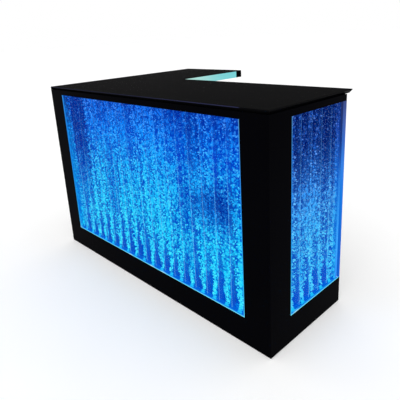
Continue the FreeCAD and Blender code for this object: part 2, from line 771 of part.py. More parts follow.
# Two-way air valve: a block on the pump's boss with a barb for each hose and a bored seat for each lever
VALVE_FRONT = f"{SERVICE_Y} - Dims.valve_side / 2"
VALVE_RIGHT = f"{SERVICE_X} + Dims.valve_length / 2"
LEVER_PLACES = {
    "front": f"{SERVICE_X} - Dims.valve_length / 4",
    "end": f"{SERVICE_X} + Dims.valve_length / 4",
}
BARB_ROOTS = {
    "front": (STUB_PLACES["front"], VALVE_FRONT, OUTLET_HEIGHT),
    "end": (VALVE_RIGHT, SERVICE_Y, OUTLET_HEIGHT),
}
valve_block = joined("valve_block", [
    block(
        "valve_body",
        about(SERVICE_X, "Dims.valve_length"),
        about(SERVICE_Y, "Dims.valve_side"),
        (VALVE_LOW, VALVE_TOP),
    ),
    rod("front_barb", "-y", "Dims.barb_radius", BARB_ROOTS["front"], "Dims.barb_length"),
    rod("end_barb", "+x", "Dims.barb_radius", BARB_ROOTS["end"], "Dims.barb_length"),
])
air_valve = cut("air_valve", valve_block, [
    rod(
        f"{side}_stem_seat",
        "+z",
        "Dims.stem_radius + Dims.running_clearance",
        (across, SERVICE_Y, f"{VALVE_TOP} - Dims.stem_depth - Dims.seat_clearance"),
        "Dims.stem_depth + Dims.seat_clearance",
    )
    for side, across in LEVER_PLACES.items()
])


# Valve lever: a hub with a stem in the block and an arm that points at the door when the air is on
def air_lever(side):
    across = LEVER_PLACES[side]
    low = f"{VALVE_TOP} + Dims.seat_clearance"
    high = f"{low} + Dims.lever_hub_height"
    hub_foot = (across, SERVICE_Y, low)
    return joined(f"{side}_air_lever", [
        rod(f"{side}_lever_hub", "+z", "Dims.lever_hub_radius", hub_foot, "Dims.lever_hub_height"),
        rod(
            f"{side}_lever_stem",
            "+z",
            "Dims.stem_radius",
            (across, SERVICE_Y, f"{VALVE_TOP} - Dims.stem_depth"),
            between(f"{VALVE_TOP} - Dims.stem_depth", high),
        ),
        block(
            f"{side}_lever_arm",
            about(across, "Dims.lever_width"),
            (SERVICE_Y, f"{SERVICE_Y} + Dims.lever_reach"),
            (low, high),
        ),
    ])


front_air_lever = air_lever("front")
end_air_lever = air_lever("end")

# Air hoses: tubes pushed over the valve's barbs and the air bars' stubs, straight runs joined by tangent arcs
hose_bend_share = 0.45
hose_run_shares = (0.32, 0.68)


def rounded_path(points):
    """Wire along the points with a tangent arc at each corner, and the arcs' radii."""
    edges = []
    radii = []
    reached = points[0]
    for before, corner, after in zip(points, points[1:], points[2:]):
        arriving = corner - before
        leaving = after - corner
        reach = hose_bend_share * min(arriving.Length, leaving.Length)
        half_turn = arriving.getAngle(leaving) / 2
        radius = reach / math.tan(half_turn)
        start = corner - arriving / arriving.Length * reach
        finish = corner + leaving / leaving.Length * reach
        inwards = start + finish - corner * 2
        crown = corner + inwards / inwards.Length * (radius / math.cos(half_turn) - radius)
        edges.append(Part.LineSegment(reached, start).toShape())
        edges.append(Part.Arc(start, crown, finish).toShape())
        radii.append(radius)
        reached = finish
    edges.append(Part.LineSegment(reached, points[-1]).toShape())
    return Part.Wire(edges), radii


def tube(path, first, radius):
    """Solid of a round section carried along a path."""
    heading = path.Edges[0].tangentAt(path.Edges[0].FirstParameter)
    ring = Part.Wire(Part.makeCircle(radius, first, heading))
    return path.makePipeShell([ring], True, False)


def air_hose(name, start, finish):
    """Hose that leaves and arrives level, with one slope between."""
    points = [start]
    for share, level in zip(hose_run_shares, (start, finish)):
        point = start + (finish - start) * share
        point.z = level.z
        points.append(point)
    points.append(finish)
    path, radii = rounded_path(points)
    outer = number("Dims.hose_radius")
    inner = number("Dims.barb_radius + Dims.hose_clearance")
    item = doc.addObject("Part::Feature", name)
    item.Shape = tube(path, start, outer).cut(tube(path, start, inner))
    item.Placement = FreeCAD.Placement()
    expected = math.pi * (outer ** 2 - inner ** 2) * path.Length
    print(name, "radii", [round(radius, 1) for radius in radii], "volume ratio", item.Shape.Volume / expected)
    return item


def at(x, y, z):
    """Point at the present values of three expressions."""
    return FreeCAD.Vector(number(x), number(y), number(z))


front_air_hose = air_hose(
    "front_air_hose",
    at(*BARB_ROOTS["front"]),
    at(STUB_PLACES["front"], f"{LINER_BACK} + Dims.tank_clearance", BAR_HEIGHT),
)
end_air_hose = air_hose(
    "end_air_hose",
    at(*BARB_ROOTS["end"]),
    at(f"{SERVICE_RIGHT} - Dims.tank_clearance", SERVICE_Y, BAR_HEIGHT),
)

# Light driver: a case on the service bay's partition
DRIVER_LOW = f"{FLOOR_TOP} + Dims.driver_lift"
led_driver = block(
    "led_driver",
    (SERVICE_LEFT, f"{SERVICE_LEFT} + Dims.driver_depth"),
    about(SERVICE_Y, "Dims.driver_length"),
    (DRIVER_LOW, f"{DRIVER_LOW} + Dims.driver_height"),
)

# Controls: fascia board and plate over the service door, with the mains inlet and the rocker switch in both
PLATE_FACE = f"{BODY_BACK} + Dims.control_plate"
FLANGE_FACE = f"{PLATE_FACE} + Dims.flange"
CONTROL_Z = middle(FASCIA_LOW, STRETCHER_LOW)
INLET_X = f"{SERVICE_X} + Dims.control_spacing"
SWITCH_X = f"{SERVICE_X} - Dims.control_spacing"
POCKET_LENGTH = "Dims.rocker_length + 2 * Dims.seat_clearance"
POCKET_HEIGHT = "2 * Dims.rocker_half + 2 * Dims.rocker_clearance"
POCKET_BACK = f"{FLANGE_FACE} - Dims.rocker_root - Dims.rocker_clearance"
SWITCH_LENGTH = f"{POCKET_LENGTH} + 2 * Dims.switch_wall"
SWITCH_HEIGHT = f"{POCKET_HEIGHT} + 2 * Dims.switch_wall"


def control_openings(name, y):
    """Openings for the two control bodies through a sheet between two places along Y."""
    slack = "2 * Dims.seat_clearance"
    return [
        block(
            f"{name}_inlet_opening",
            about(INLET_X, f"Dims.inlet_length + {slack}"),
            y,
            about(CONTROL_Z, f"Dims.inlet_height + {slack}"),
        ),
        block(
            f"{name}_switch_opening",
            about(SWITCH_X, f"{SWITCH_LENGTH} + {slack}"),
            y,
            about(CONTROL_Z, f"{SWITCH_HEIGHT} + {slack}"),
        ),
    ]


control_fascia = cut(
    "control_fascia",
    block("fascia_board", (SERVICE_LEFT, SERVICE_RIGHT), (DOOR_BACK, BODY_BACK), (FASCIA_LOW, STRETCHER_LOW)),
    control_openings("fascia", (DOOR_BACK, BODY_BACK)),
)
control_plate = cut(
    "control_plate",
    block(
        "plate_blank",
        about(SERVICE_X, "Dims.control_length"),
        (BODY_BACK, PLATE_FACE),
        about(CONTROL_Z, "Dims.control_height"),
    ),
    control_openings("plate", (BODY_BACK, PLATE_FACE)),
)


def panel_insert(name, centre, length, height, back):
    """Body through the fascia with a flange on the control plate."""
    border = "2 * Dims.flange_border"
    return joined(f"{name}_shell", [
        block(f"{name}_body", about(centre, length), (back, PLATE_FACE), about(CONTROL_Z, height)),
        block(
            f"{name}_flange",
            about(centre, f"{length} + {border}"),
            (PLATE_FACE, FLANGE_FACE),
            about(CONTROL_Z, f"{height} + {border}"),
        ),
    ])


INLET_BACK = f"{FLANGE_FACE} - Dims.inlet_depth"
mains_inlet = cut(
    "mains_inlet",
    panel_insert("inlet", INLET_X, "Dims.inlet_length", "Dims.inlet_height", INLET_BACK),
    [block(
        "inlet_socket",
        about(INLET_X, "Dims.inlet_length - 2 * Dims.inlet_wall"),
        (f"{INLET_BACK} + Dims.inlet_floor", FLANGE_FACE),
        about(CONTROL_Z, "Dims.inlet_height - 2 * Dims.inlet_wall"),
    )],
)
switch_housing = cut(
    "switch_housing",
    panel_insert("switch", SWITCH_X, SWITCH_LENGTH, SWITCH_HEIGHT, f"{FLANGE_FACE} - Dims.switch_depth"),
    [block(
        "switch_pocket",
        about(SWITCH_X, POCKET_LENGTH),
        (POCKET_BACK, FLANGE_FACE),
        about(CONTROL_Z, POCKET_HEIGHT),
    )],
)

# Switch rocker: a shallow V that pivots at the flange's face, tilted to its off side
rocker_start = f"{SWITCH_X} - Dims.rocker_length / 2"
switch_rocker = profile("switch_rocker", "YZ_Plane", [
    (f"{FLANGE_FACE} - Dims.rocker_root", f"{CONTROL_Z} - Dims.rocker_half"),
    (f"{FLANGE_FACE} + Dims.rocker_proud", f"{CONTROL_Z} - Dims.rocker_half"),
    (f"{FLANGE_FACE} + Dims.rocker_dip", CONTROL_Z),
    (f"{FLANGE_FACE} + Dims.rocker_proud", f"{CONTROL_Z} + Dims.rocker_half"),
    (f"{FLANGE_FACE} - Dims.rocker_root", f"{CONTROL_Z} + Dims.rocker_half"),
], "Dims.rocker_length", (rocker_start, FLANGE_FACE, CONTROL_Z))
off_tilt = FreeCAD.Rotation(DIRECTIONS["+x"], number("Dims.rocker_tilt"))
switch_rocker.Placement = FreeCAD.Placement(FreeCAD.Vector(), off_tilt)

# Service door: an inset board on two butt hinges beside the end liner
DOOR_X = (f"{SERVICE_LEFT} + Dims.front_gap", f"{SERVICE_RIGHT} - Dims.front_gap")
DOOR_Z = (f"{FLOOR_TOP} + Dims.front_gap", f"{FASCIA_LOW} - Dims.front_gap")
service_door = block("service_door", DOOR_X, (DOOR_BACK, BODY_BACK), DOOR_Z)

HINGE_X = f"{SERVICE_RIGHT} - Dims.front_gap / 2"
HINGE_Y = f"{BODY_BACK} + Dims.knuckle_radius + Dims.seat_clearance"
LEAF_START = "Dims.knuckle_radius + Dims.seat_clearance"
LEAF_Y = (BODY_BACK, f"{BODY_BACK} + Dims.leaf")
hinge_place_shares = (0.14, 0.86)


def hinge_leaf(name, low, side, width, spans):
    """Plate on one side of the pin with a tab and a knuckle at each of its spans of height."""
    root = f"{HINGE_X} + {side} * ({LEAF_START})"
    tip = f"{HINGE_X} + {side} * ({LEAF_START} + {width})"
    ends = (root, tip) if side > 0 else (tip, root)
    tab = (HINGE_X, root) if side > 0 else (root, HINGE_X)
    pieces = [block(f"{name}_plate", ends, LEAF_Y, (low, f"{low} + Dims.hinge_height"))]
    for index, (bottom, top) in enumerate(spans):
        pieces.append(block(f"{name}_tab_{index}", tab, LEAF_Y, (bottom, top)))
        foot = (HINGE_X, HINGE_Y, bottom)
        pieces.append(rod(f"{name}_knuckle_{index}", "+z", "Dims.knuckle_radius", foot, between(bottom, top)))
    return pieces


def hinge_levels():
    """Bottom of each hinge, evenly about its place on the door."""
    return [f"{part_way(*DOOR_Z, share)} - Dims.hinge_height / 2" for share in hinge_place_shares]


def frame_leaf(index, low):
    """Leaf on the liner with the outer knuckles and the pin."""
    third = "Dims.hinge_height / 3"
    spans = [(low, f"{low} + {third}"), (f"{low} + 2 * {third}", f"{low} + Dims.hinge_height")]
    pieces = hinge_leaf(f"frame_leaf_{index}", low, 1, "Dims.frame_leaf_width", spans)
    foot = (HINGE_X, HINGE_Y, low)
    pieces.append(rod(f"hinge_pin_{index}", "+z", "Dims.pin_radius", foot, "Dims.hinge_height"))
    return joined(f"frame_leaf_{index}", pieces)


def door_leaf(index, low):
    """Leaf on the door with the middle knuckle, bored for the pin."""
    third = "Dims.hinge_height / 3"
    span = (f"{low} + {third} + Dims.seat_clearance", f"{low} + 2 * {third} - Dims.seat_clearance")
    pieces = hinge_leaf(f"door_leaf_{index}", low, -1, "Dims.door_leaf_width", [span])
    blank = joined(f"door_leaf_blank_{index}", pieces)
    bore = rod(
        f"pin_bore_{index}",
        "+z",
        "Dims.pin_radius + Dims.running_clearance",
        (HINGE_X, HINGE_Y, low),
        "Dims.hinge_height",
    )
    return cut(f"door_leaf_bored_{index}", blank, [bore])


hinge_frame_leaves = group("hinge_frame_leaves", [frame_leaf(*item) for item in enumerate(hinge_levels())])
hinge_door_leaves = group("hinge_door_leaves", [door_leaf(*item) for item in enumerate(hinge_levels())])


# Knobs: a short stem with a round cap, on the door and on the drawer
def knob(name, x, z):
    cap = f"{BODY_BACK} + Dims.knob_stem_length"
    return joined(name, [
        rod(f"{name}_stem", "+y", "Dims.knob_stem_radius", (x, BODY_BACK, z), "Dims.knob_stem_length"),
        rod(f"{name}_cap", "+y", "Dims.knob_radius", (x, cap, z), "Dims.knob_thickness"),
    ])


service_door_knob = knob(
    "service_door_knob", f"{DOOR_X[0]} + Dims.knob_inset", f"{DOOR_Z[1]} - Dims.knob_drop"
)

# Drawer: an inset front on a box of thin boards, carried by a bar on each side in a fixed channel
DRAWER_FRONT_X = (f"{DRAWER_LEFT} + Dims.front_gap", f"{DRAWER_RIGHT} - Dims.front_gap")
DRAWER_FRONT_Z = (FASCIA_LOW, f"{STRETCHER_LOW} - Dims.front_gap")
drawer_front = block("drawer_front", DRAWER_FRONT_X, (DOOR_BACK, BODY_BACK), DRAWER_FRONT_Z)
drawer_knob = knob("drawer_knob", middle(*DRAWER_FRONT_X), middle(*DRAWER_FRONT_Z))

BOX_X = (f"{DRAWER_LEFT} + Dims.runner_space", f"{DRAWER_RIGHT} - Dims.runner_space")
BOX_INSIDE = (f"{BOX_X[0]} + Dims.drawer_side", f"{BOX_X[1]} - Dims.drawer_side")
BOX_Y = (f"{DOOR_BACK} - Dims.drawer_depth", DOOR_BACK)
BOX_LOW = f"{FASCIA_LOW} + Dims.drawer_lift"
BOX_Z = (BOX_LOW, f"{BOX_LOW} + Dims.drawer_height")
BOX_BACK = f"{BOX_Y[0]} + Dims.drawer_side"
drawer_box = group("drawer_box", [
    block("drawer_side_left", (BOX_X[0], BOX_INSIDE[0]), BOX_Y, BOX_Z),
    block("drawer_side_right", (BOX_INSIDE[1], BOX_X[1]), BOX_Y, BOX_Z),
    block("drawer_rear", BOX_INSIDE, (BOX_Y[0], BOX_BACK), BOX_Z),
    block("drawer_base", BOX_INSIDE, (BOX_BACK, DOOR_BACK), (BOX_LOW, f"{BOX_LOW} + Dims.drawer_bottom")),
])

# Runners: a channel on each partition, and the bar on the drawer's side that slides in it
RUNNER_Z = middle(*BOX_Z)
RUNNER_Y = (f"{DOOR_BACK} - Dims.runner_length", DOOR_BACK)
BAR_SPAN = about(RUNNER_Z, "Dims.runner_bar_height")
GROOVE_SPAN = about(RUNNER_Z, "Dims.runner_bar_height + 2 * Dims.runner_clearance")
CHANNEL_SPAN = about(RUNNER_Z, "Dims.runner_bar_height + 2 * Dims.runner_clearance + 2 * Dims.runner_wall")


def runner(name, wall, side, depth, z):
    """Box on a partition's face, between two depths measured towards the drawer."""
    near, far = (f"{wall} + {side} * ({part})" for part in depth)
    return block(name, (near, far) if side > 0 else (far, near), RUNNER_Y, z)


channel_depth = ("0", "Dims.runner_space - Dims.runner_lip_clearance")
groove_depth = ("Dims.runner_wall", "Dims.runner_space - Dims.runner_lip_clearance")
bar_depth = ("Dims.runner_wall + Dims.runner_clearance", "Dims.runner_space")
runner_walls = ((DRAWER_LEFT, 1), (DRAWER_RIGHT, -1))
drawer_runners = group("drawer_runners", [
    cut(
        f"runner_channel_{index}",
        runner(f"runner_blank_{index}", wall, side, channel_depth, CHANNEL_SPAN),
        [runner(f"runner_groove_{index}", wall, side, groove_depth, GROOVE_SPAN)],
    )
    for index, (wall, side) in enumerate(runner_walls)
])
drawer_slide_bars = group("drawer_slide_bars", [
    runner(f"slide_bar_{index}", wall, side, bar_depth, BAR_SPAN)
    for index, (wall, side) in enumerate(runner_walls)
])

# Floor glides: round pads in the middle of the boards that reach down to the floor
front_glide_shares = (0.1, 0.5, 0.9)
side_glide_shares = (0.2, 0.5, 0.8)
half_board = "Dims.board / 2"
glide_places = [
    (part_way(OPEN_LEFT, OPEN_RIGHT, share), f"{FRONT} + {half_board}") for share in front_glide_shares
]
glide_places += [(f"{LEFT} + {half_board}", part_way(FRONT, BACK, share)) for share in side_glide_shares]
glide_places += [
    (part_way(RETURN_KICK_FACE, RIGHT_INSIDE, share), f"{KICK_FACE} - {half_board}")
    for share in side_glide_shares
]
glide_places += [
    (middle(OPEN_RIGHT, RIGHT), f"{FRONT} + {half_board}"),
    (middle(LEFT, OPEN_LEFT), f"{FRONT} + {half_board}"),
    (f"{RIGHT} - {half_board}", middle(OPEN_NEAR, BODY_BACK)),
    (f"{RIGHT} - {half_board}", f"{BODY_BACK} - Dims.board"),
    (middle(LEFT_INSIDE, CABINET_FACE), f"{BACK} - {half_board}"),
    (f"{RETURN_KICK_FACE} - {half_board}", middle(KICK_FACE, BACK_INSIDE)),
]
floor_glides = group("floor_glides", [
    rod(f"floor_glide_{index}", "+z", "Dims.glide_radius", (x, y, "0"), "Dims.glide_height")
    for index, (x, y) in enumerate(glide_places)
])

nodes = [
    worktop_main, worktop_return,
    corner_post_front, corner_post_end, left_post, outer_side_panel,
    front_plinth, end_plinth, front_top_rail, end_top_rail, end_back_trim,
    main_floor, return_floor, kickboards, return_end_panel,
    front_liner, end_liner, partitions, top_stretchers, shelves,
    return_aprons, cantilever_bars, return_light_diffuser, return_end_block, led_channels,
    *front_panel, *end_panel, drain_ports,
    air_pump, pump_feet, air_valve, front_air_lever, end_air_lever, front_air_hose, end_air_hose, led_driver,
    control_fascia, control_plate, mains_inlet, switch_housing, switch_rocker,
    service_door, service_door_knob, hinge_frame_leaves, hinge_door_leaves,
    drawer_front, drawer_knob, drawer_box, drawer_runners, drawer_slide_bars, floor_glides,
]
doc.recompute()

# Every object has to be sound before anything is written
for item in doc.Objects:
    if "Invalid" in item.State or "Error" in item.State:
        raise RuntimeError(f"{item.Label} did not build")
for item in nodes:
    if item.Shape.isNull() or not item.Shape.isValid():
        raise RuntimeError(f"{item.Label} has no sound shape")

os.makedirs("parts", exist_ok=True)
for item in nodes:
    item.Shape.exportStep(f"parts/{item.Label}.step")
print(len(nodes), "nodes written")
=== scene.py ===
import math

import bpy
import numpy as np
from mathutils import Matrix


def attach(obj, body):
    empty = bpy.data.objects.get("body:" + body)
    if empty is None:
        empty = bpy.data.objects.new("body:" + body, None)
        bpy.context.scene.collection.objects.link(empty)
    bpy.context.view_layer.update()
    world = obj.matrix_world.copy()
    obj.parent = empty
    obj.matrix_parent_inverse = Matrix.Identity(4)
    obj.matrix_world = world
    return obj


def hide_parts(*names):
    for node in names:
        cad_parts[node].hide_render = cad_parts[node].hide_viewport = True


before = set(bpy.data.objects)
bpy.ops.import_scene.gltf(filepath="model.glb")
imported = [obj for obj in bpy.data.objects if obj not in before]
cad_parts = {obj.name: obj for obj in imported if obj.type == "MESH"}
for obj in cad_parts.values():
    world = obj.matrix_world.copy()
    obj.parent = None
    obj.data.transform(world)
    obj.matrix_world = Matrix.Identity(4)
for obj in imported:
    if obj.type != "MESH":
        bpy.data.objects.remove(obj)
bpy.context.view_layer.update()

# Floor boards, kickboards, partitions, stretchers, shelves and drawer box.
# Real boards are 18 mm chipboard faced with dark grey melamine, printed with a fine grain.
# They are screwed and dowelled together and carry everything else.


class Wire:
    """A value in a material. Arithmetic on it adds Math nodes, and node() adds any other node."""

    def __init__(self, tree, socket=None):
        self.tree = tree
        self.socket = socket

    def feed(self, target, value):
        """Links a wire to a node's socket, or writes a plain value into it."""
        if isinstance(value, Wire):
            self.tree.links.new(value.socket, target)
        else:
            target.default_value = value

    def node(self, kind, settings=None, inputs=None, out=0):
        """Adds a node of this kind: first its settings, then the values or links of its sockets."""
        made = self.tree.nodes.new("ShaderNode" + kind)
        for key, value in (settings or {}).items():
            if key == "stops":
                elements = made.color_ramp.elements
                while len(elements) < len(value):
                    elements.new(1.0)
                for element, (position, colour) in zip(elements, value):
                    element.position = position
                    element.color = colour
            else:
                setattr(made, key, value)
        for key, value in (inputs or {}).items():
            self.feed(made.inputs[key], value)
        return Wire(self.tree, made.outputs[out])

    def maths(self, operation, *values):
        """Adds a Math node on one or two values."""
        return self.node("Math", {"operation": operation}, dict(enumerate(values)))

    def __add__(self, other):
        return self.maths("ADD", self, other)

    def __sub__(self, other):
        return self.maths("SUBTRACT", self, other)

    def __rsub__(self, other):
        return self.maths("SUBTRACT", other, self)

    def __mul__(self, other):
        return self.maths("MULTIPLY", self, other)

    def __truediv__(self, other):
        return self.maths("DIVIDE", self, other)

    def __abs__(self):
        return self.maths("ABSOLUTE", self)

    __radd__ = __add__
    __rmul__ = __mul__

    def between(self, low, high):
        """0 below low, 1 above high, and a smooth step between them."""
        return self.node(
            "MapRange",
            {"interpolation_type": "SMOOTHSTEP"},
            {"Value": self, "From Min": low, "From Max": high},
        )

    def clamped(self):
        """The value, held between 0 and 1."""
        return self.node("Clamp", None, {0: self})


def tone(red, green, blue):
    """A colour as a screen shows it, 0 to 255, as the linear colour that a shader takes."""
    share = np.array([red, green, blue], float) / 255
    linear = np.where(share < 0.04045, share / 12.92, ((share + 0.055) / 1.055) ** 2.4)
    return (*[float(value) for value in linear], 1.0)


def blended(root, amount, first, second):
    """Mixes two colours by an amount from 0 to 1. A plain one is given as a screen shows it."""
    pair = [part if isinstance(part, Wire) else tone(*part) for part in (first, second)]
    return root.node("Mix", {"data_type": "RGBA"}, {0: amount, 6: pair[0], 7: pair[1]}, 2)


EVEN = (1.0, 1.0, 1.0)


def stretched(root, kind, stretch, inputs, out=0):
    """A texture read at the piece's own place, in metres, stretched by a factor along each axis."""
    place = root.node("TexCoord", out="Object")
    scaled = root.node("VectorMath", {"operation": "MULTIPLY"}, {0: place, 1: stretch})
    return root.node(kind, None, {"Vector": scaled, **inputs}, out)


def mottle(root, scale, detail, stretch=EVEN, **more):
    """Cloudy noise: how many clouds to the metre, how many finer layers, and the stretch."""
    return stretched(root, "TexNoise", stretch, {"Scale": scale, "Detail": detail, **more})


def bumped(root, height, strength, distance):
    """The surface's normal, tilted by a height."""
    inputs = {"Strength": strength, "Distance": distance, "Height": height}
    return root.node("Bump", None, inputs, "Normal")


def finish(name, constants, look, **given):
    """A material: constants are set on the shader's sockets, and a look links what changes."""
    made = bpy.data.materials.new(name)
    made.use_nodes = True
    shader = made.node_tree.nodes["Principled BSDF"]
    root = Wire(made.node_tree)
    for socket, value in constants.items():
        shader.inputs[socket].default_value = value
    for socket, value in look(root, **given).items():
        root.feed(shader.inputs[socket], value)
    return made


def dress(material, *names):
    """Puts a finish on the frame's own nodes."""
    for name in names:
        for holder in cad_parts[name].material_slots:
            holder.material = material


def melamine_look(root):
    grain = mottle(root, 1.0, 6.0, (9.0, 160.0, 160.0), Roughness=0.62)
    dark = blended(root, mottle(root, 5.0, 3.0), (52, 53, 56), (60, 61, 64))
    return {
        "Base Color": blended(root, grain.between(0.42, 0.7), dark, (78, 79, 82)),
        "Roughness": 0.42 + 0.16 * grain,
        "Normal": bumped(root, grain, 0.25, 0.0004),
    }


melamine = finish("carcass_melamine", {"Specular IOR Level": 0.35}, melamine_look)
dress(
    melamine, "main_floor", "return_floor", "kickboards", "front_liner", "end_liner", "partitions",
    "top_stretchers", "shelves", "drawer_box",
)

# Floor glides: moulded discs of hard black plastic, finely pitted, nailed under the boards.
# The same plastic makes the mains inlet and the switch housing, set in the control fascia.


def moulded_look(root):
    wear = mottle(root, 40.0, 4.0)
    return {
        "Base Color": blended(root, wear, (20, 20, 21), (34, 34, 36)),
        "Roughness": 0.38 + 0.2 * wear,
        "Normal": bumped(root, mottle(root, 900.0, 2.0), 0.3, 0.0002),
    }


moulded_plastic = finish("moulded_black_plastic", {"Specular IOR Level": 0.4}, moulded_look)
dress(moulded_plastic, "floor_glides", "mains_inlet", "switch_housing")

# Posts, plinths, rails, outer panels, aprons, door and drawer front.
# Boards sprayed with gloss-black lacquer: a deep black with a trace of orange peel, and hairline swirls
# from wiping that show only in its gloss. The boards round the staff side got one more coat of gloss.


def lacquer_look(root):
    swirl = mottle(root, 4.0, 6.0, (30.0, 30.0, 5.0), Distortion=1.2)
    return {
        "Base Color": blended(root, mottle(root, 2.5, 2.0), (3, 3, 6), (6, 6, 9)),
        "Roughness": 0.04 + 0.10 * swirl.between(0.45, 0.8),
        "Normal": bumped(root, mottle(root, 230.0, 2.0), 0.05, 0.0004),
    }


lacquer = finish("gloss_black_lacquer", {"Specular IOR Level": 0.003}, lacquer_look)
dress(
    lacquer, "corner_post_front", "corner_post_end", "left_post", "front_plinth", "end_plinth",
    "front_top_rail", "end_top_rail", "return_end_block",
)
staff_lacquer = finish("staff_side_lacquer", {"Specular IOR Level": 0.06}, lacquer_look)
dress(
    staff_lacquer, "outer_side_panel", "return_end_panel", "return_aprons", "service_door",
    "drawer_front", "control_fascia",
)

# Bubble panels: the glowing back sheet behind each tank, bonded to the tank's edge strips.
# White-printed acrylic lit from the strip below, seen through moving water: deep blue between the
# plumes, cyan in them, brightest at the bottom.

# The back sheet's glow is painted light: emission in its colour stands in for the strip's lamps, which
# aren't built.
CHANNELS = {
    # side: axis along the panel, inner edge of the first channel, pitch
    "front": (0, -0.667, 1.328 / 18),
    "end": (1, -0.411, 0.363 / 5),
}
WATER_LOW = 0.126
WATER_TOP = 0.959
WATER_TONES = {
    # side: tones between the bubbles and tones of the bubbles, from the water's bottom to its top
    "front": (
        [(0.0, 0, 78, 200), (0.15, 0, 78, 202), (0.5, 0, 54, 194), (0.8, 0, 50, 194),
         (1.0, 0, 36, 146)],
        [(0.0, 34, 220, 255), (0.3, 32, 214, 255), (0.6, 30, 192, 254), (0.85, 22, 144, 250),
         (1.0, 24, 108, 234)],
    ),
    "end": (
        [(0.0, 0, 80, 206), (0.15, 4, 80, 200), (0.5, 14, 62, 166), (0.8, 0, 12, 84),
         (1.0, 0, 6, 54)],
        [(0.0, 46, 200, 255), (0.3, 62, 194, 254), (0.6, 60, 156, 246), (0.85, 52, 110, 226),
         (1.0, 48, 90, 196)],
    ),
}
THIN_TOP = (0.45, 0.85)
# Places on the front where the specks and bubbles thin out and the glow is painted darker. The first, a
# band at the far left, is painted shade: the dark side of a reflection's edge on the face sheet.
THIN_AND_SHADED_PLACES = (
    # begins and ends along the front, begins and ends in height, each over a pair of limits
    ((-0.664, -0.645), (-0.53, -0.45), (0.22, 0.8), None),
    ((0.31, 0.35), (0.4, 0.44), (0.62, 0.75), None),
    ((0.24, 0.48), (0.53, 0.66), (0.32, 0.52), (0.54, 0.7)),
)
THIN_BUBBLES = {"front": (1.6, 0.7, 0.65), "end": 1.0}
THIN_SHADE = {"front": (1.0, 0.5, 0.85), "end": 0.2}
PLUME_SWAY = 0.03
PLUME_FOOT = 0.006
PLUME_GROWTH = (0.02, 0.12)
WATER_SHADE = (0, 12, 128)
BUBBLE_SHADE = (16, 122, 236)
FACING = (0.4, 0.6)
UNLIT = (0, 0, 0)
# Painted light: a finish made with GLOWING shows its light as emission in its own colour, standing in for
# the lamps under the tanks, which aren't built. The back sheets, edge strips, back trim, dividers, air
# bars, bubbles, strainers and glazing beads all glow this way.
GLOWING = {"Emission Strength": 1.0, "Specular IOR Level": 0.0}


def own_place(root, axis):
    """One coordinate of the piece's own place, in metres."""
    return root.node("SeparateXYZ", None, {0: root.node("TexCoord", out="Object")}, axis)


def own_normal(root, axis):
    """How far the surface faces along one axis, from -1 to 1."""
    return root.node("SeparateXYZ", None, {0: root.node("TexCoord", out="Normal")}, axis)


def staff_side(root):
    """1 where the surface faces the staff side, and 0 elsewhere."""
    return own_normal(root, 1).between(*FACING)


def cells(root, scale):
    """Distance from the middle of the nearest of many loose cells, so many to the metre."""
    return stretched(root, "TexVoronoi", EVEN, {"Scale": scale}, "Distance")


def ramp_of(root, height, stops):
    """A colour that changes with height through the given tones."""
    colours = [(at, tone(*shade)) for at, *shade in stops]
    return root.node("ValToRGB", {"stops": colours}, {"Fac": height})


def water_height(root):
    """Height in the water, 0 at its bottom and 1 at its surface."""
    return (own_place(root, 2) - WATER_LOW) / (WATER_TOP - WATER_LOW)


def channel_wave(root, side):
    """Distance from the middle of a channel, in metres, and the channel's number."""
    axis, start, pitch = CHANNELS[side]
    along = (own_place(root, axis) - start) / pitch
    number = root.maths("FLOOR", along)
    return (along - number - 0.5) * pitch, number


def thinning_and_shade(root, side, weights):
    """How far the bubbles thin out and the painted glow darkens: towards the top of the end panel, or in
    the places of the front, added up, each with its own weight. The band at the far left of the front is
    painted shade."""
    height = water_height(root)
    if side == "end":
        return weights * height.between(*THIN_TOP)
    along = own_place(root, 0)
    parts = []
    for weight, (start, stop, low, top) in zip(weights, THIN_AND_SHADED_PLACES):
        part = along.between(*start) * (1.0 - along.between(*stop)) * height.between(*low)
        parts.append(weight * (part * (1.0 - height.between(*top)) if top else part))
    return sum(parts[1:], parts[0])


def shaded(root, side, stops, shade):
    """Tones that change with height, and turn towards a painted shade where the bubbles thin out and across
    the band of painted shade at the far left of the front.
    """
    amount = thinning_and_shade(root, side, THIN_SHADE[side]).clamped()
    return blended(root, amount, ramp_of(root, water_height(root), stops), shade)


def light_drift(root, side):
    """Broad uprights of lighter and darker water, about 0.2 m wide, times fine ones where bubbles follow
    each other. Both are darker where the bubbles thin out, and in the painted shade at the far left of the
    front."""
    drift = mottle(root, 1.0, 2.0, (5.5, 5.5, 1.5))
    trail = mottle(root, 1.0, 1.0, (62.0, 62.0, 2.0))
    thin = thinning_and_shade(root, side, THIN_BUBBLES[side])
    broad = (0.5 + 0.6 * drift.between(0.34, 0.6)) * (1.0 - 0.3 * thin)
    return broad * (0.56 + 0.86 * trail.between(0.36, 0.64))


def speckle(root, side):
    """Bubbles too small to model: two patterns of cells, each lit near its middle, in clumps."""
    thin = 0.12 * thinning_and_shade(root, side, THIN_BUBBLES[side])
    fine = (1.0 - cells(root, 82.0) - thin).between(0.53, 0.63)
    coarse = (1.0 - cells(root, 48.0) - thin).between(0.56, 0.66)
    clump = mottle(root, 32.0, 1.0).between(0.36, 0.64)
    return (0.26 + (fine * 0.75 + coarse * 0.75)) * (0.6 + 0.75 * clump)


def up_the_channel(root, number, height, steps, detail):
    """Noise that runs up each channel in its own way. Steps: rate by channel, rate by height, start."""
    at = root.node("CombineXYZ", None, {0: number * steps[0], 1: height * steps[1], 2: steps[2]})
    return root.node("TexNoise", None, {"Vector": at, "Scale": 1.0, "Detail": detail})


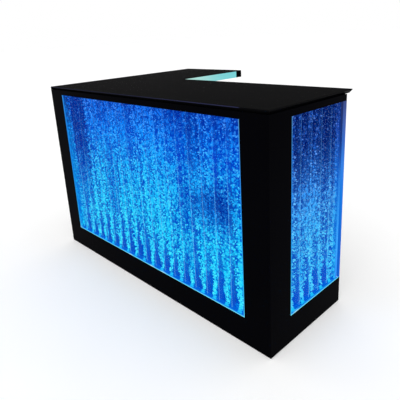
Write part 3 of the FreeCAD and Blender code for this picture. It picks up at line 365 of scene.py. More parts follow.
def water_look(root, side):
    """A swaying plume in each channel that widens as it rises, and a haze of bubbles that takes over
    above, both broken up into specks."""
    height = water_height(root)
    offset, number = channel_wave(root, side)
    sway = up_the_channel(root, number, height, (7.31, 7.0, 0.37), 2.0)
    reach = up_the_channel(root, number, height, (3.77, 2.0, 4.1), 1.0)
    aside = abs(offset + (sway - 0.5) * PLUME_SWAY)
    half_width = PLUME_FOOT + height * (PLUME_GROWTH[0] + PLUME_GROWTH[1] * reach)
    plume = (1.0 - aside / half_width).between(0.0, 0.7)
    cloud = mottle(root, 1.0, 3.0, (5.0, 5.0, 1.6))
    spread = height.between(0.0, 0.38)
    haze = (0.25 + 0.75 * cloud.between(0.3, 0.75)) * (1.0 - 0.35 * height.between(0.6, 1.0))
    cover = plume * (1.0 - 0.55 * spread) + haze * spread
    amount = (cover * speckle(root, side) * light_drift(root, side)).clamped()
    deep, bright = WATER_TONES[side]
    between = shaded(root, side, deep, WATER_SHADE)
    colour = blended(root, amount, between, shaded(root, side, bright, BUBBLE_SHADE))
    return {
        "Base Color": blended(root, amount, (0, 10, 32), (2, 36, 66)),
        "Emission Color": blended(root, staff_side(root), colour, UNLIT),
        "Roughness": 0.3 + 0.2 * cloud,
    }


def dress_panels(part, label, look):
    """Puts a glowing finish of its own on the same part of each panel."""
    for side in CHANNELS:
        dress(finish(f"{side}_{label}", GLOWING, look, side=side), f"{side}_{part}")


dress_panels("tank_back", "water_glow", water_look)

# Edge strips of each tank: clear acrylic bars bonded between the sheets, lit end-on by the strip below.
# They glow cyan-white along the bottom, with a hot spot over each lamp chip, and fade up the sides.
# The end tank's back edge is taped black outside.

FACE_INSIDE = {"front": -0.537, "end": 0.787}
FAR_EDGE = (-0.06, -0.055)
LOWER_HALF = (0.5, 0.6)
PLUME_POOL = (0.008, 0.016)
FACE_LINE = (0.0, 0.004)
RIM_TONES = [
    (0.0, 52, 146, 248), (0.19, 60, 168, 252), (0.43, 46, 146, 238), (0.6, 44, 124, 218),
    (0.7, 30, 82, 170), (0.8, 24, 56, 130), (1.0, 40, 48, 92),
]
INNER_TONES = [
    (0.0, 6, 104, 214), (0.3, 8, 108, 214), (0.6, 8, 84, 192), (0.85, 10, 48, 136),
    (1.0, 12, 36, 98),
]


def facing(root, axis):
    """1 where the surface faces along this axis, either way, and 0 where it lies along it."""
    return abs(own_normal(root, axis)).between(*FACING)


def behind_face(root, side):
    """Depth behind the inside of the face sheet, in metres."""
    return abs(own_place(root, 1 - CHANNELS[side][0]) - FACE_INSIDE[side])


def edge_look(root, side):
    """Dim sides with the water's specks in them, and a floor with a bright line along the face sheet
    and a pool of light under each channel. The end's far bar shows a brighter rim."""
    axis = CHANNELS[side][0]
    bright = WATER_TONES[side][1]
    height = water_height(root)
    spot = cells(root, 13.0)
    hot = (1.0 - spot).between(0.62, 0.95)
    sparkle = (0.8 * speckle(root, side) * light_drift(root, side)).clamped()
    dim = ramp_of(root, height, INNER_TONES)
    sides = blended(root, sparkle, dim, ramp_of(root, height, bright))
    if side == "end":
        far_bar = own_place(root, axis).between(*FAR_EDGE)
        rim = facing(root, 1 - axis) * far_bar
        sides = blended(root, rim, sides, ramp_of(root, height, RIM_TONES))
    line = blended(root, hot, (10, 136, 230), (90, 214, 255))
    offset, _ = channel_wave(root, side)
    foot = 1.0 - abs(offset).between(*PLUME_POOL)
    bed = blended(root, foot, (0, 96, 214), (24, 196, 252))
    floor_tone = blended(root, behind_face(root, side).between(*FACE_LINE), line, bed)
    low_flat = facing(root, 2) * (1.0 - height.between(*LOWER_HALF))
    lit = blended(root, low_flat, sides, floor_tone)
    if side == "end":
        lit = blended(root, staff_side(root) * far_bar, lit, UNLIT)
    return {
        "Base Color": blended(root, spot, (4, 20, 44), (10, 34, 60)),
        "Emission Color": lit,
        "Roughness": 0.1 + 0.1 * spot,
    }


dress_panels("tank_edges", "lit_edge", edge_look)

# Back trim of the end panel: a clear acrylic strip that closes the tank's back edge.
# Light runs through it from the tank, so it shows a duller blue than the panel.
# Its staff side is painted black.

TRIM_TONES = [
    (0.0, 20, 94, 202), (0.3, 16, 106, 212), (0.5, 26, 122, 224), (0.66, 54, 130, 228),
    (0.8, 56, 104, 194), (0.9, 72, 98, 172), (1.0, 64, 76, 130),
]


def trim_look(root):
    cloud = mottle(root, 20.0, 3.0)
    painted = staff_side(root)
    clear = blended(root, cloud, (8, 22, 44), (14, 34, 60))
    glow = ramp_of(root, water_height(root), TRIM_TONES)
    return {
        "Base Color": blended(root, painted, clear, (4, 4, 7)),
        "Emission Color": blended(root, painted, glow, UNLIT),
        "Roughness": 0.15 + 0.1 * cloud,
    }


dress(finish("lit_trim_acrylic", GLOWING, trim_look), "end_back_trim")

# Channel dividers: 3 mm clear acrylic fins bonded between the sheets, one between each two channels.
# Their sides are all but invisible in the water, and their cut front edges catch the light from below.

DIVIDER_TONES = [
    (0.0, 130, 226, 255), (0.3, 130, 220, 255), (0.7, 104, 190, 250), (1.0, 70, 140, 225),
]
CUT_EDGE = (0.006, 0.008)


def divider_look(root, side):
    """Clear but for the cut front edge, which glows through small flaws and dims towards the top."""
    axis = CHANNELS[side][0]
    height = water_height(root)
    edge = facing(root, 1 - axis) * (1.0 - behind_face(root, side).between(*CUT_EDGE))
    flaw = mottle(root, 30.0, 3.0)
    dimming = 1.0 - 0.5 * height.between(0.5, 0.9)
    return {
        "Base Color": blended(root, flaw, (20, 70, 110), (30, 90, 130)),
        "Emission Color": ramp_of(root, height, DIVIDER_TONES),
        "Alpha": 0.012 + edge * (0.14 + 0.42 * flaw) * dimming,
        "Roughness": 0.08 + 0.1 * flaw,
    }


dress_panels("tank_dividers", "divider_acrylic", divider_look)

# Air bars: clear acrylic pipes along the bottom of each tank, with a nozzle in the middle of each channel.
# They sit on the bottom strip and glow from the light that comes up through it.

NOZZLE_GLOW = (0.006, 0.013)


def acrylic_tone(root, amount):
    """The dark blue of lit acrylic under its glow."""
    return blended(root, amount, (4, 20, 44), (10, 40, 70))


def air_bar_look(root, side):
    """Blue between the channels, and bright round each nozzle, where small flaws scatter the light."""
    flaw = mottle(root, 60.0, 3.0)
    offset, _ = channel_wave(root, side)
    nozzle = (1.0 - abs(offset).between(*NOZZLE_GLOW)) * (0.5 + 0.8 * flaw)
    return {
        "Base Color": acrylic_tone(root, flaw),
        "Emission Color": blended(root, nozzle, (0, 96, 214), (40, 206, 254)),
        "Roughness": 0.1 + 0.15 * flaw,
    }


dress_panels("air_bar", "air_bar_acrylic", air_bar_look)

# Bubbles: air rising through the water from each nozzle.
# A narrow swaying stream at the bottom opens out until it fills its channel.

BUBBLES_PER_CHANNEL = 460
BUBBLE_PIECES = (
    # piece, side, first channel, channel after the last, seed
    ("front_bubbles_0", "front", 0, 6, 20),
    ("front_bubbles_1", "front", 6, 12, 21),
    ("front_bubbles_2", "front", 12, 18, 22),
    ("end_bubbles_0", "end", 0, 5, 27),
)
WATER_DEPTH = {"front": (-0.536, -0.514), "end": (0.764, 0.786)}
NOZZLE_HEIGHT = 0.016
HEAD_ROOM = 0.022
WALL_ROOM = 0.006
LOW_CROWDING = 1.15
LEAST_RADIUS = 0.0018
RADIUS_RANGE = 0.0046
RADIUS_SPREAD = (1.4, 2.8)
STREAM_HALF = 0.005
STREAM_GROWTH = 0.036
STREAM_FLARE = 1.2
STREAM_SWAY = 0.006
SWAY_FADE = 1.4
LEAST_SWAY = 0.25
SWAY_LENGTHS = (0.10, 0.19)
OPENING_HEIGHTS = (0.10, 0.42)
CLEARANCE = 1.2
FLATNESS = (0.75, 1.0)
PALE_LIFT = (50, 32, 6)
PALE_SHADE = (54, 142, 242)


def bubble_points():
    """A bubble of radius 1 with twenty faces: two rings of five points, half a step apart, at the
    latitudes whose tangent is a half, and two poles."""
    k = np.arange(5)
    turn = k * (2 * math.pi / 5)
    level = math.atan(0.5)
    rings = [
        np.stack([np.cos(turn + twist) * math.cos(tilt), np.sin(turn + twist) * math.cos(tilt),
                  np.full(5, math.sin(tilt))], 1)
        for twist, tilt in ((0.0, -level), (math.pi / 5, level))
    ]
    points = np.concatenate([[[0, 0, -1.0]], *rings, [[0, 0, 1.0]]])
    after = (k + 1) % 5
    faces = np.concatenate([
        (np.zeros(5, int), 1 + after, 1 + k),
        (1 + k, 1 + after, 6 + k),
        (1 + after, 6 + after, 6 + k),
        (np.full(5, 11), 6 + k, 6 + after),
    ], 1).T
    return points, faces


def shell(name, points, faces, material, smooth=False):
    """A mesh piece from an array of points, and an array of faces for each number of corners."""
    mesh = bpy.data.meshes.new(name)
    sizes = np.concatenate([np.full(len(group), group.shape[1]) for group in faces])
    corners = np.concatenate([group.ravel() for group in faces])
    mesh.vertices.add(len(points))
    mesh.vertices.foreach_set("co", points.ravel())
    mesh.loops.add(len(corners))
    mesh.loops.foreach_set("vertex_index", corners)
    mesh.polygons.add(len(sizes))
    mesh.polygons.foreach_set("loop_start", np.concatenate([[0], np.cumsum(sizes)[:-1]]))
    mesh.polygons.foreach_set("use_smooth", np.full(len(sizes), smooth))
    mesh.update(calc_edges=True)
    mesh.validate()
    mesh.materials.append(material)
    made = bpy.data.objects.new(name, mesh)
    bpy.context.scene.collection.objects.link(made)
    return made


def rising_bubbles(name, side, first, last, material, seed):
    """Bubbles of the channels first to last. Each stream sways as a sine of its height, and its spread
    grows with height to half the channel. Radius, place in the spread and brightness are random."""
    axis, start, pitch = CHANNELS[side]
    draw = np.random.default_rng(seed)
    channel = np.repeat(np.arange(first, last), BUBBLES_PER_CHANNEL)
    count = len(channel)
    phase = draw.uniform(0, 2 * math.pi, last)[channel]
    wave = draw.uniform(*SWAY_LENGTHS, last)[channel]
    opening = draw.uniform(*OPENING_HEIGHTS, last)[channel]
    rise = draw.uniform(0.0, 1.0, count) ** LOW_CROWDING
    climb = rise * (WATER_TOP - WATER_LOW - HEAD_ROOM)
    radius = LEAST_RADIUS + RADIUS_RANGE * draw.beta(*RADIUS_SPREAD, count)
    room = pitch / 2 - WALL_ROOM
    opened = climb / opening
    spread = np.minimum(STREAM_HALF + STREAM_GROWTH * np.clip(opened, 0, 1) ** STREAM_FLARE, room)
    swing = STREAM_SWAY * np.clip(SWAY_FADE - opened, LEAST_SWAY, 1)
    sway = np.sin(climb / wave * 2 * math.pi + phase) * swing
    aside = np.clip(sway + spread * draw.uniform(-1, 1, count), -room, room)
    low, high = WATER_DEPTH[side]
    clear = radius * CLEARANCE
    depth = low + clear + (high - low - 2 * clear) * draw.uniform(0, 1, count)
    centre = np.zeros((count, 3))
    centre[:, axis] = start + (channel + 0.5) * pitch + aside
    centre[:, 1 - axis] = depth
    centre[:, 2] = WATER_LOW + NOZZLE_HEIGHT + climb
    points, faces = bubble_points()
    flat = draw.uniform(*FLATNESS, count)
    scale = np.stack([radius, radius, radius * flat], 1)
    everything = centre[:, None, :] + points[None] * scale[:, None, :]
    numbers = faces[None] + (np.arange(count) * len(points))[:, None, None]
    made = shell(name, everything.reshape(-1, 3), [numbers.reshape(-1, 3)], material, smooth=True)
    sparks = np.repeat(draw.uniform(0, 1, count), len(points)).astype(np.float32)
    made.data.attributes.new("spark", "FLOAT", "POINT").data.foreach_set("value", sparks)
    return made


def bubble_look(root, side):
    """Each bubble lies between the panel's bright tone and a paler one, as its spark says. Where the
    bubbles thin out, only the brightest keep their light."""
    deep, bright = WATER_TONES[side]
    pale = [
        (at, *[min(255, value + lift) for value, lift in zip(shade, PALE_LIFT)]) for at, *shade in bright
    ]
    spark = root.node("Attribute", {"attribute_name": "spark"}, None, "Fac")
    plain = shaded(root, side, bright, BUBBLE_SHADE)
    colour = blended(root, spark, plain, shaded(root, side, pale, PALE_SHADE))
    thin = thinning_and_shade(root, side, THIN_BUBBLES[side])
    lit = light_drift(root, side) * (1.0 - thin * (1.0 - spark.between(0.55, 0.9)))
    return {
        "Base Color": blended(root, spark, (0, 28, 66), (6, 56, 96)),
        "Emission Color": blended(root, lit, shaded(root, side, deep, WATER_SHADE), colour),
        "Roughness": 0.1 + 0.1 * spark,
    }


air = {side: finish(f"{side}_bubble_air", GLOWING, bubble_look, side=side) for side in CHANNELS}
for name, side, first, last, seed in BUBBLE_PIECES:
    bubbles = rising_bubbles(name, side, first, last, air[side], seed)
    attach(bubbles, "counter")

# Drain strainers: small clear domes pushed over the drain couplings, inside the tanks.
# Turned from acrylic, with a stepped rim; they glow in the blue of the water round them, as painted light.

STRAINER_PROFILE = [
    # radius and height above the back sheet, in millimetres
    (10.5, 0), (10.5, 1.4), (9.8, 2), (8.6, 2.2), (8.4, 3.4), (7, 4.6), (4.8, 5.5), (2.4, 5.9),
    (0.6, 6),
]
STRAINERS = {
    # side: middle of the strainer's foot, and which way it stands out
    "front": ((0.599, -0.5131, 0.138), -1),
    "end": ((0.7631, -0.1805, 0.138), 1),
}
TURNED_STEPS = 40


def turned(profile, centre, axis, outward):
    """Rings of a turned piece: each pair of the profile is a circle's radius and its place on the axis."""
    radius, along = np.array(profile, float).T / 1000
    angle = np.arange(TURNED_STEPS) * (2 * math.pi / TURNED_STEPS)
    first, second = (axis + 1) % 3, (axis + 2) % 3
    rings = np.zeros((len(radius), TURNED_STEPS, 3)) + centre
    rings[:, :, axis] += outward * along[:, None]
    rings[:, :, first] += radius[:, None] * np.cos(angle)
    rings[:, :, second] += radius[:, None] * outward * np.sin(angle)
    return rings


def walls(here, there):
    """Four-cornered faces between rings of point numbers and the rings that follow them."""
    return np.stack([here, np.roll(here, -1, 1), np.roll(there, -1, 1), there], -1).reshape(-1, 4)


def swept(rings):
    """Faces that join rings of points, one after the other, and cap the first and the last."""
    count, around = rings.shape[:2]
    number = np.arange(count * around).reshape(count, around)
    return [walls(number[:-1], number[1:]), number[:1, ::-1], number[-1:]]


def lofted(name, rings, material, smooth=False):
    """A closed piece from rings of points."""
    return shell(name, rings.reshape(-1, 3), swept(rings), material, smooth)


def strainer_look(root):
    cloud = mottle(root, 160.0, 2.0)
    return {
        "Base Color": acrylic_tone(root, cloud),
        "Emission Color": blended(root, cloud.between(0.35, 0.65), (0, 92, 212), (14, 150, 238)),
        "Roughness": 0.1 + 0.1 * cloud,
    }


strainer_acrylic = finish("strainer_acrylic", GLOWING, strainer_look)
for side, (foot, outward) in STRAINERS.items():
    rings = turned(STRAINER_PROFILE, foot, 1 - CHANNELS[side][0], outward)
    strainer = lofted(f"{side}_drain_strainer", rings, strainer_acrylic, smooth=True)
    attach(strainer, "counter")

# Water: it fills each tank from the bottom strip to a level just under the top strip.
# Clear, with a surface that the rising air keeps rippling and that creeps up the sheets it wets.

WATER_LEVEL = 0.951
WATER_BOTTOM = 0.1255
WATER_BODY = {
    # side: from and to along the panel, and the depths at its face and at its back
    "front": ((-0.668, 0.662), (-0.5368, -0.512)),
    "end": ((-0.412, -0.047), (0.7868, 0.762)),
}
RIPPLE_STEP = 0.004
RIPPLE_HEIGHT = 0.0016
RIPPLE_RATES = (170, 61)
RIPPLE_SKEWS = (5, 4)
RIPPLE_LAG = 2.0
WETTING = 0.0015
SURFACE_POINTS = 9


def water_rings(side):
    """Cross-sections of the water along the panel: two corners at the bottom, and points over the
    surface, which ripples as two crossed sines and climbs where it wets the sheets."""
    (start, stop), (face, back) = WATER_BODY[side]
    along = np.linspace(start, stop, int((stop - start) / RIPPLE_STEP))[:, None]
    across = np.linspace(0, 1, SURFACE_POINTS)[None, :]
    short = np.sin(along * RIPPLE_RATES[0] + across * RIPPLE_SKEWS[0])
    long = np.sin(along * RIPPLE_RATES[1] + RIPPLE_LAG - across * RIPPLE_SKEWS[1])
    wave = RIPPLE_HEIGHT * short * long
    climb = WETTING * np.abs(2 * across - 1) ** 6
    surface = WATER_LEVEL + wave + climb
    depth = np.broadcast_to(back + (face - back) * across, surface.shape)
    rings = np.zeros((len(along), 2 + SURFACE_POINTS, 3))
    axis = CHANNELS[side][0]
    rings[:, :, axis] = along
    rings[:, :2, 1 - axis] = (face, back)
    rings[:, :2, 2] = WATER_BOTTOM
    rings[:, 2:, 1 - axis] = depth
    rings[:, 2:, 2] = surface
    return rings


def water_tint(root):
    cloud = mottle(root, 4.0, 2.0)
    return {"Base Color": blended(root, cloud, (236, 248, 255), (248, 253, 255))}


CLEAR_WATER = {
    "Transmission Weight": 1.0, "IOR": 1.04, "Roughness": 0.0, "Specular Tint": (0.0, 0.0, 0.0, 1.0),
}
clear_water = finish("clear_water", CLEAR_WATER, water_tint)
for side in WATER_BODY:
    body_of_water = lofted(f"{side}_water", water_rings(side), clear_water)
    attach(body_of_water, "counter")

# Face sheets: 8 mm clear cast acrylic, clamped behind the lips of the frame.
# Polished, with a few faint wiping marks that only show in a reflection.


def face_look(root):
    wipe = mottle(root, 3.0, 5.0, (8.0, 8.0, 2.0), Distortion=0.8)
    return {
        "Base Color": blended(root, wipe, (236, 247, 252), (248, 252, 254)),
        "Roughness": 0.01 * wipe.between(0.4, 0.9),
    }


face_acrylic = finish("face_sheet_acrylic", {"Transmission Weight": 1.0, "IOR": 1.02}, face_look)
dress(face_acrylic, "front_tank_face", "end_tank_face")

# Glazing beads: clear acrylic strips bonded to the face sheet along the lip of the frame.
# The sheet leads light into them, so they shine as a thin bright line, with hot spots along the bottom.

BEAD_WIDTH = 0.0048
BEAD_HEIGHT = 0.0047
BEAD_TOP_SHARE = 0.85
OPENING = (0.130, 0.957)
BEADS = {
    # side: the frame's opening along the panel, the face sheet's outside, which way it faces,
    # and whether the bead also climbs the far end
    "front": ((-0.673, 0.667), -0.545, -1, True),
    "end": ((-0.417, -0.033), 0.795, 1, False),
}
BEAD_TONES = [
    (0.0, 84, 214, 255), (0.14, 52, 192, 248), (0.35, 40, 166, 244), (0.6, 38, 142, 236),
    (0.85, 56, 140, 218), (1.0, 80, 146, 200),
]


def bead_rings(side):
    """A four-cornered bead carried, mitred, down one side, along the bottom and up the other."""
    (start, stop), sheet, outward, closed = BEADS[side]
    low, top = OPENING
    path = np.array([(start, top), (start, low), (stop, low), (stop, top)])
    inward = np.array([(1, 0), (1, 1), (-1 if closed else 0, 1), (-1, 0)])
    if not closed:
        path, inward = path[:3], inward[:3]
    profile = np.array([
        (0, 0), (BEAD_WIDTH, 0), (BEAD_TOP_SHARE * BEAD_WIDTH, BEAD_HEIGHT), (0, BEAD_HEIGHT),
    ])
    flat = path[:, None, :] + inward[:, None, :] * profile[None, :, :1]
    rings = np.zeros((len(path), len(profile), 3))
    axis = CHANNELS[side][0]
    rings[:, :, axis] = flat[..., 0]
    rings[:, :, 1 - axis] = sheet + outward * profile[:, 1]
    rings[:, :, 2] = flat[..., 1]
    return rings


def bead_look(root, side):
    """A bright front that changes with height, a hot line along the bottom, and duller flanks."""
    height = water_height(root)
    spot = cells(root, 9.0)
    hot = (1.0 - spot).between(0.7, 1.0)
    line = blended(root, hot, (112, 228, 254), (226, 252, 255))
    low = 1.0 - height.between(0.006, 0.03)
    front = blended(root, low, ramp_of(root, height, BEAD_TONES), line)
    flank = blended(root, hot * low, (18, 130, 228), (120, 226, 255))
    return {
        "Base Color": acrylic_tone(root, spot),
        "Emission Color": blended(root, facing(root, 1 - CHANNELS[side][0]), flank, front),
        "Roughness": 0.12 + 0.1 * spot,
    }


for side in BEADS:
    bead_acrylic = finish(f"{side}_lit_glazing_bead", GLOWING, bead_look, side=side)
    bead = lofted(f"{side}_glazing_bead", bead_rings(side), bead_acrylic)
    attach(bead, "counter")

# Worktops: two gloss-black slabs butted where the legs meet, each with a thin arris over an undercut bevel.
# Polished harder than the boards, with very fine pale flecks and a soft wiping haze.
# The front arris carries a painted reflection: a faint blue line of the panel's glow under it. Every face
# that doesn't face up gets painted shade, a darker and duller copy of the top.

# Limits of the painted reflection on the front arris: the front edge, the end of the panel, its fade along
# the top, and the arris's height.
FRONT_EDGE = (-0.5495, -0.549)
PANEL_STOP = (0.66, 0.675)
NEAR_END = (-0.2, 0.66)
ARRIS_RISE = (0.9965, 0.9975)


def worktop_look(root):
    fleck = (1.0 - cells(root, 420.0)).between(0.9, 1.0) * 0.4
    haze = mottle(root, 1.6, 2.0, (1.0, 2.0, 1.0))
    deep = blended(root, haze, (11, 11, 12), (16, 16, 17))
    return {
        "Base Color": blended(root, fleck, deep, (34, 34, 37)),
        "Roughness": 0.05 + 0.03 * haze,
    }


def with_painted_shade_edges(material):
    """Painted shade: mixes a darker, duller copy of the top in wherever the surface doesn't face up, with a
    painted reflection line on its arris.
    """
    root = Wire(material.node_tree)
    nodes = material.node_tree.nodes
    upward = own_normal(root, 2).between(*FACING)
    scuff = mottle(root, 60.0, 3.0)
    along, across, height = [own_place(root, axis) for axis in range(3)]
    over_panel = (1.0 - across.between(*FRONT_EDGE)) * (1.0 - along.between(*PANEL_STOP))
    nearer = 0.45 + 0.55 * along.between(*NEAR_END)
    # painted reflection of the panel's glow along the front arris, over the panel only, stronger towards
    # its right end
    arris = over_panel * height.between(*ARRIS_RISE) * nearer
    # painted shade of the faces that don't face up
    dark = blended(root, scuff, (5, 5, 7), (11, 11, 13))
    edge = root.node("BsdfPrincipled", None, {
        "Base Color": blended(root, arris, dark, (46, 48, 80)),
        "Roughness": 0.16 + 0.12 * scuff,
        "Specular IOR Level": 0.006,
    })
    gloss = Wire(material.node_tree, nodes["Principled BSDF"].outputs["BSDF"])
    mixed = root.node("MixShader", None, {0: upward, 1: edge, 2: gloss})
    root.feed(nodes["Material Output"].inputs["Surface"], mixed)


worktop_gloss = finish("worktop_gloss_black", {"Specular IOR Level": 0.08}, worktop_look)
with_painted_shade_edges(worktop_gloss)
dress(worktop_gloss, "worktop_main", "worktop_return")

# Return edge light: an opal acrylic strip under the inner edge of the return top, lit from behind.
# Turquoise, paler towards the inner corner; it closes the front of its light channel.

INNER_CORNER = (0.02, 0.45)


def diffuser_look(root):
    cloud = mottle(root, 9.0, 3.0)
    deeper = own_place(root, 1).between(*INNER_CORNER)
    glow = blended(root, deeper, (176, 218, 208), (94, 196, 204))
    return {
        "Base Color": blended(root, cloud, (20, 60, 60), (30, 70, 70)),
        "Emission Color": blended(root, cloud * 0.2, glow, (200, 236, 230)),
        "Roughness": 0.35 + 0.15 * cloud,
    }


# Painted light: OPAL gives the strip and its lens their glow as emission, standing in for the lamps behind
# them, which aren't built.
OPAL = {"Emission Strength": 1.0, "Specular IOR Level": 0.2}
opal = finish("opal_turquoise", OPAL, diffuser_look)
dress(opal, "return_light_diffuser")

# Lens and end cap of the return edge light: they fill the slab's undercut above it, up to the arris.
# The lens is the same opal acrylic, and the cap at its far end is lacquered board, mitred round the corner.
# A lacquered fillet fills the undercut along the outer side in the same way, so the slab is flush there.

ARRIS_LOW = 0.997
BEVEL_SLOPE = 9 / 13
EDGE_PLAY = 0.0002
EDGE_STRIPS = (
    # piece, path along the slab's edge, way inward at each point, foot, finish, slot
    ("return_edge_lens", [(-0.270, 0.0205), (-0.270, 0.500)], [(-1, 0), (-1, 0)],
     0.988, opal, "turquoise_diffuser"),
    ("return_edge_cap", [(-0.270, 0.500), (-0.270, 0.550), (-0.284, 0.550)],
     [(-1, 0), (-1, -1), (0, -1)], 0.984, lacquer, "black_lacquer"),
    ("outer_edge_fillet", [(-0.800, 0.550), (-0.800, -0.550)], [(1, 0), (1, 0)],
     0.984, lacquer, "black_lacquer"),
)


def undercut_rings(path, inward, foot):
    """A three-cornered strip under a bevel, from a foot height up to the arris, carried along the slab's
    edge. Each corner is set in by its own distance, along the mitre where the path turns."""
    depth = (ARRIS_LOW - foot) * BEVEL_SLOPE
    inset = np.array([EDGE_PLAY, depth - EDGE_PLAY, EDGE_PLAY])
    height = np.array([foot, foot, ARRIS_LOW - 2 * EDGE_PLAY])
    flat = np.array(path)[:, None, :] + np.array(inward)[:, None, :] * inset[None, :, None]
    return np.concatenate([flat, np.broadcast_to(height[None, :, None], (*flat.shape[:2], 1))], -1)


for name, path, inward, foot, material, slot in EDGE_STRIPS:
    strip = lofted(name, undercut_rings(path, inward, foot), material)
    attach(strip, "counter")

# Light channels, control plate and light driver: drawn aluminium, brushed along its length and anodised.
# The channels clip under the tanks and behind the diffuser, and the plate and driver are screwed on.

METAL = {"Metallic": 1.0}


def mottled_look(root, scale, detail, tones, gloss, relief=None, stretch=EVEN):
    """One pattern of clouds moves the colour, the roughness and, where there is one, the relief."""
    cloud = mottle(root, scale, detail, stretch)
    made = {
        "Base Color": blended(root, cloud, *tones),
        "Roughness": gloss[0] + gloss[1] * cloud,
    }
    if relief:
        made["Normal"] = bumped(root, cloud, *relief)
    return made


aluminium = finish(
    "brushed_aluminium", METAL, mottled_look, scale=1.0, detail=4.0, stretch=(14.0, 500.0, 500.0),
    tones=((178, 180, 184), (214, 216, 219)), gloss=(0.26, 0.16), relief=(0.12, 0.0002),
)
dress(aluminium, "led_channels", "control_plate", "led_driver")

# Cantilever bars, drawer runners and slide bars: zinc-plated steel with a faint rolled texture.
# The bars carry the return top, and the runners are screwed to the partitions and the drawer.


def zinc_look(root):
    roll = mottle(root, 1.0, 3.0, (10.0, 260.0, 260.0))
    return {
        "Base Color": blended(root, cells(root, 60.0), (150, 152, 156), (188, 190, 194)),
        "Roughness": 0.3 + 0.2 * roll,
        "Normal": bumped(root, roll, 0.1, 0.0002),
    }


zinc = finish("zinc_plated_steel", METAL, zinc_look)
dress(zinc, "cantilever_bars", "drawer_runners", "drawer_slide_bars")

# Hinge leaves: chrome-plated steel, knuckled round a pin.
# One leaf of each hinge is screwed to the side of the service bay, the other to the door.


def chrome_look(root):
    smear = mottle(root, 45.0, 4.0)
    return {
        "Base Color": blended(root, smear, (168, 170, 174), (196, 198, 202)),
        "Roughness": 0.1 + 0.14 * smear.between(0.4, 0.8),
    }


chrome = finish("polished_chrome", METAL, chrome_look)
dress(chrome, "hinge_frame_leaves", "hinge_door_leaves")

# Knobs of the service door and the drawer: turned brass, chrome plated, each on a screw through its board.
# A small foot, a waisted neck and a head with a rolled rim and a shallow dome.

KNOB_PROFILE = [
    # radius and distance from the board, in millimetres
    (7.8, 0), (7.8, 1), (7.4, 1.4), (6.4, 1.7), (5.6, 3), (5.2, 5.5), (5.4, 8.5), (6.6, 10.5),
    (9.5, 11.8), (12.8, 12.6), (14.4, 13.4), (15, 14.6), (15, 15.8), (14.4, 17), (13.4, 17.6),
    (12.4, 17.7), (11.8, 17.9), (9.8, 19.3), (6.8, 20.4), (3.4, 20.9), (0.6, 21),
]
KNOBS = {
    # knob: body, and its place across and up the board
    "service_door_knob": ("service_door", 0.327, 0.703),
    "drawer_knob": ("drawer", 0.001, 0.8895),
}
BOARD_FACE = -0.025
for name, (body, x, z) in KNOBS.items():
    knob = lofted(f"turned_{name}", turned(KNOB_PROFILE, (x, BOARD_FACE, z), 1, 1), chrome, smooth=True)
    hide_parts(name)
    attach(knob, body)

# Screws of the hinges and the control plate: small pan heads with a cross recess, zinc plated.
# They are drawn in by hand, so each cross stands at its own angle.

HEAD_RADIUS = 0.0029
HEAD_HEIGHT = 0.0016
HEAD_PROFILE = [
    # share of the radius, share of the height outside the cross, and in it
    (1.0, 0.0, 0.0), (1.0, 0.35, 0.35), (0.86, 0.8, 0.8), (0.6, 1.0, 1.0), (0.52, 1.0, 0.35),
    (0.22, 1.0, 0.2), (0.14, 0.3, 0.15), (0.03, 0.15, 0.15),
]
HEAD_STEPS = 24
ARM_STEPS = 2
LEAF_FACE = BOARD_FACE + 0.0018
PLATE_FACE = BOARD_FACE + 0.002
HINGE_LOWS = (0.1758, 0.6842)
FRAME_HOLES = ((0.7476, 0.010), (0.7476, 0.030), (0.7476, 0.050))
DOOR_HOLES = ((0.709, 0.010), (0.722, 0.030), (0.709, 0.050))
PLATE_HOLES = ((0.421, 0.856), (0.421, 0.926), (0.597, 0.856), (0.597, 0.926))
SCREWS = (
    # piece, body, middles of the seats, seed
    ("hinge_frame_screws", "counter",
     [(x, LEAF_FACE, low + up) for low in HINGE_LOWS for x, up in FRAME_HOLES], 51),
    ("hinge_door_screws", "service_door",
     [(x, LEAF_FACE, low + up) for low in HINGE_LOWS for x, up in DOOR_HOLES], 52),
    ("control_plate_screws", "counter", [(x, PLATE_FACE, z) for x, z in PLATE_HOLES], 53),
)


def screw_heads(name, places, seed):
    """Pan heads facing the staff side: rings that shrink as they rise, sunk where the angle is on one of
    the four arms of the cross."""
    share, plain, sunk = np.array(HEAD_PROFILE).T
    angle = np.arange(HEAD_STEPS) * (2 * math.pi / HEAD_STEPS)
    arm = (np.arange(HEAD_STEPS) % (HEAD_STEPS // 4)) < ARM_STEPS
    height = np.where(arm, sunk[:, None], plain[:, None]) * HEAD_HEIGHT
    turn = np.random.default_rng(seed).uniform(0, math.pi / 2, len(places))
    seat = np.array(places)[:, :, None, None]
    around = angle + turn[:, None, None]
    reach = HEAD_RADIUS * share[:, None]
    points = np.zeros((len(places), len(share), HEAD_STEPS, 3))
    points[..., 2] = seat[:, 2] + reach * np.cos(around)
    points[..., 0] = seat[:, 0] + reach * np.sin(around)
    points[..., 1] = seat[:, 1] + height
    starts = (np.arange(len(places)) * len(share) * HEAD_STEPS)[:, None, None]
    faces = [(group[None] + starts).reshape(-1, group.shape[1]) for group in swept(points[0])]
    return shell(name, points.reshape(-1, 3), faces, zinc)


for name, body, places, seed in SCREWS:
    heads = screw_heads(name, places, seed)
    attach(heads, body)

# Pins of the mains inlet: three flat nickel blades that stand on the floor of its socket.
# Stamped from strip, with chamfered tips; the middle one sits higher.

PIN_PLACES = ((0.552, 0.8885), (0.559, 0.8935), (0.566, 0.8885))
PIN_FOOT = -0.0396
PIN_TIP = -0.0260
PIN_CHAMFER = 0.0015
PIN_HALF = (0.0010, 0.0021)
PIN_CORNERS = [(-1, -0.7), (-1, 0.7), (-0.6, 1), (0.6, 1), (1, 0.7), (1, -0.7), (0.6, -1), (-0.6, -1)]
PIN_SHRINK = (1.0, 1.0, 0.55)


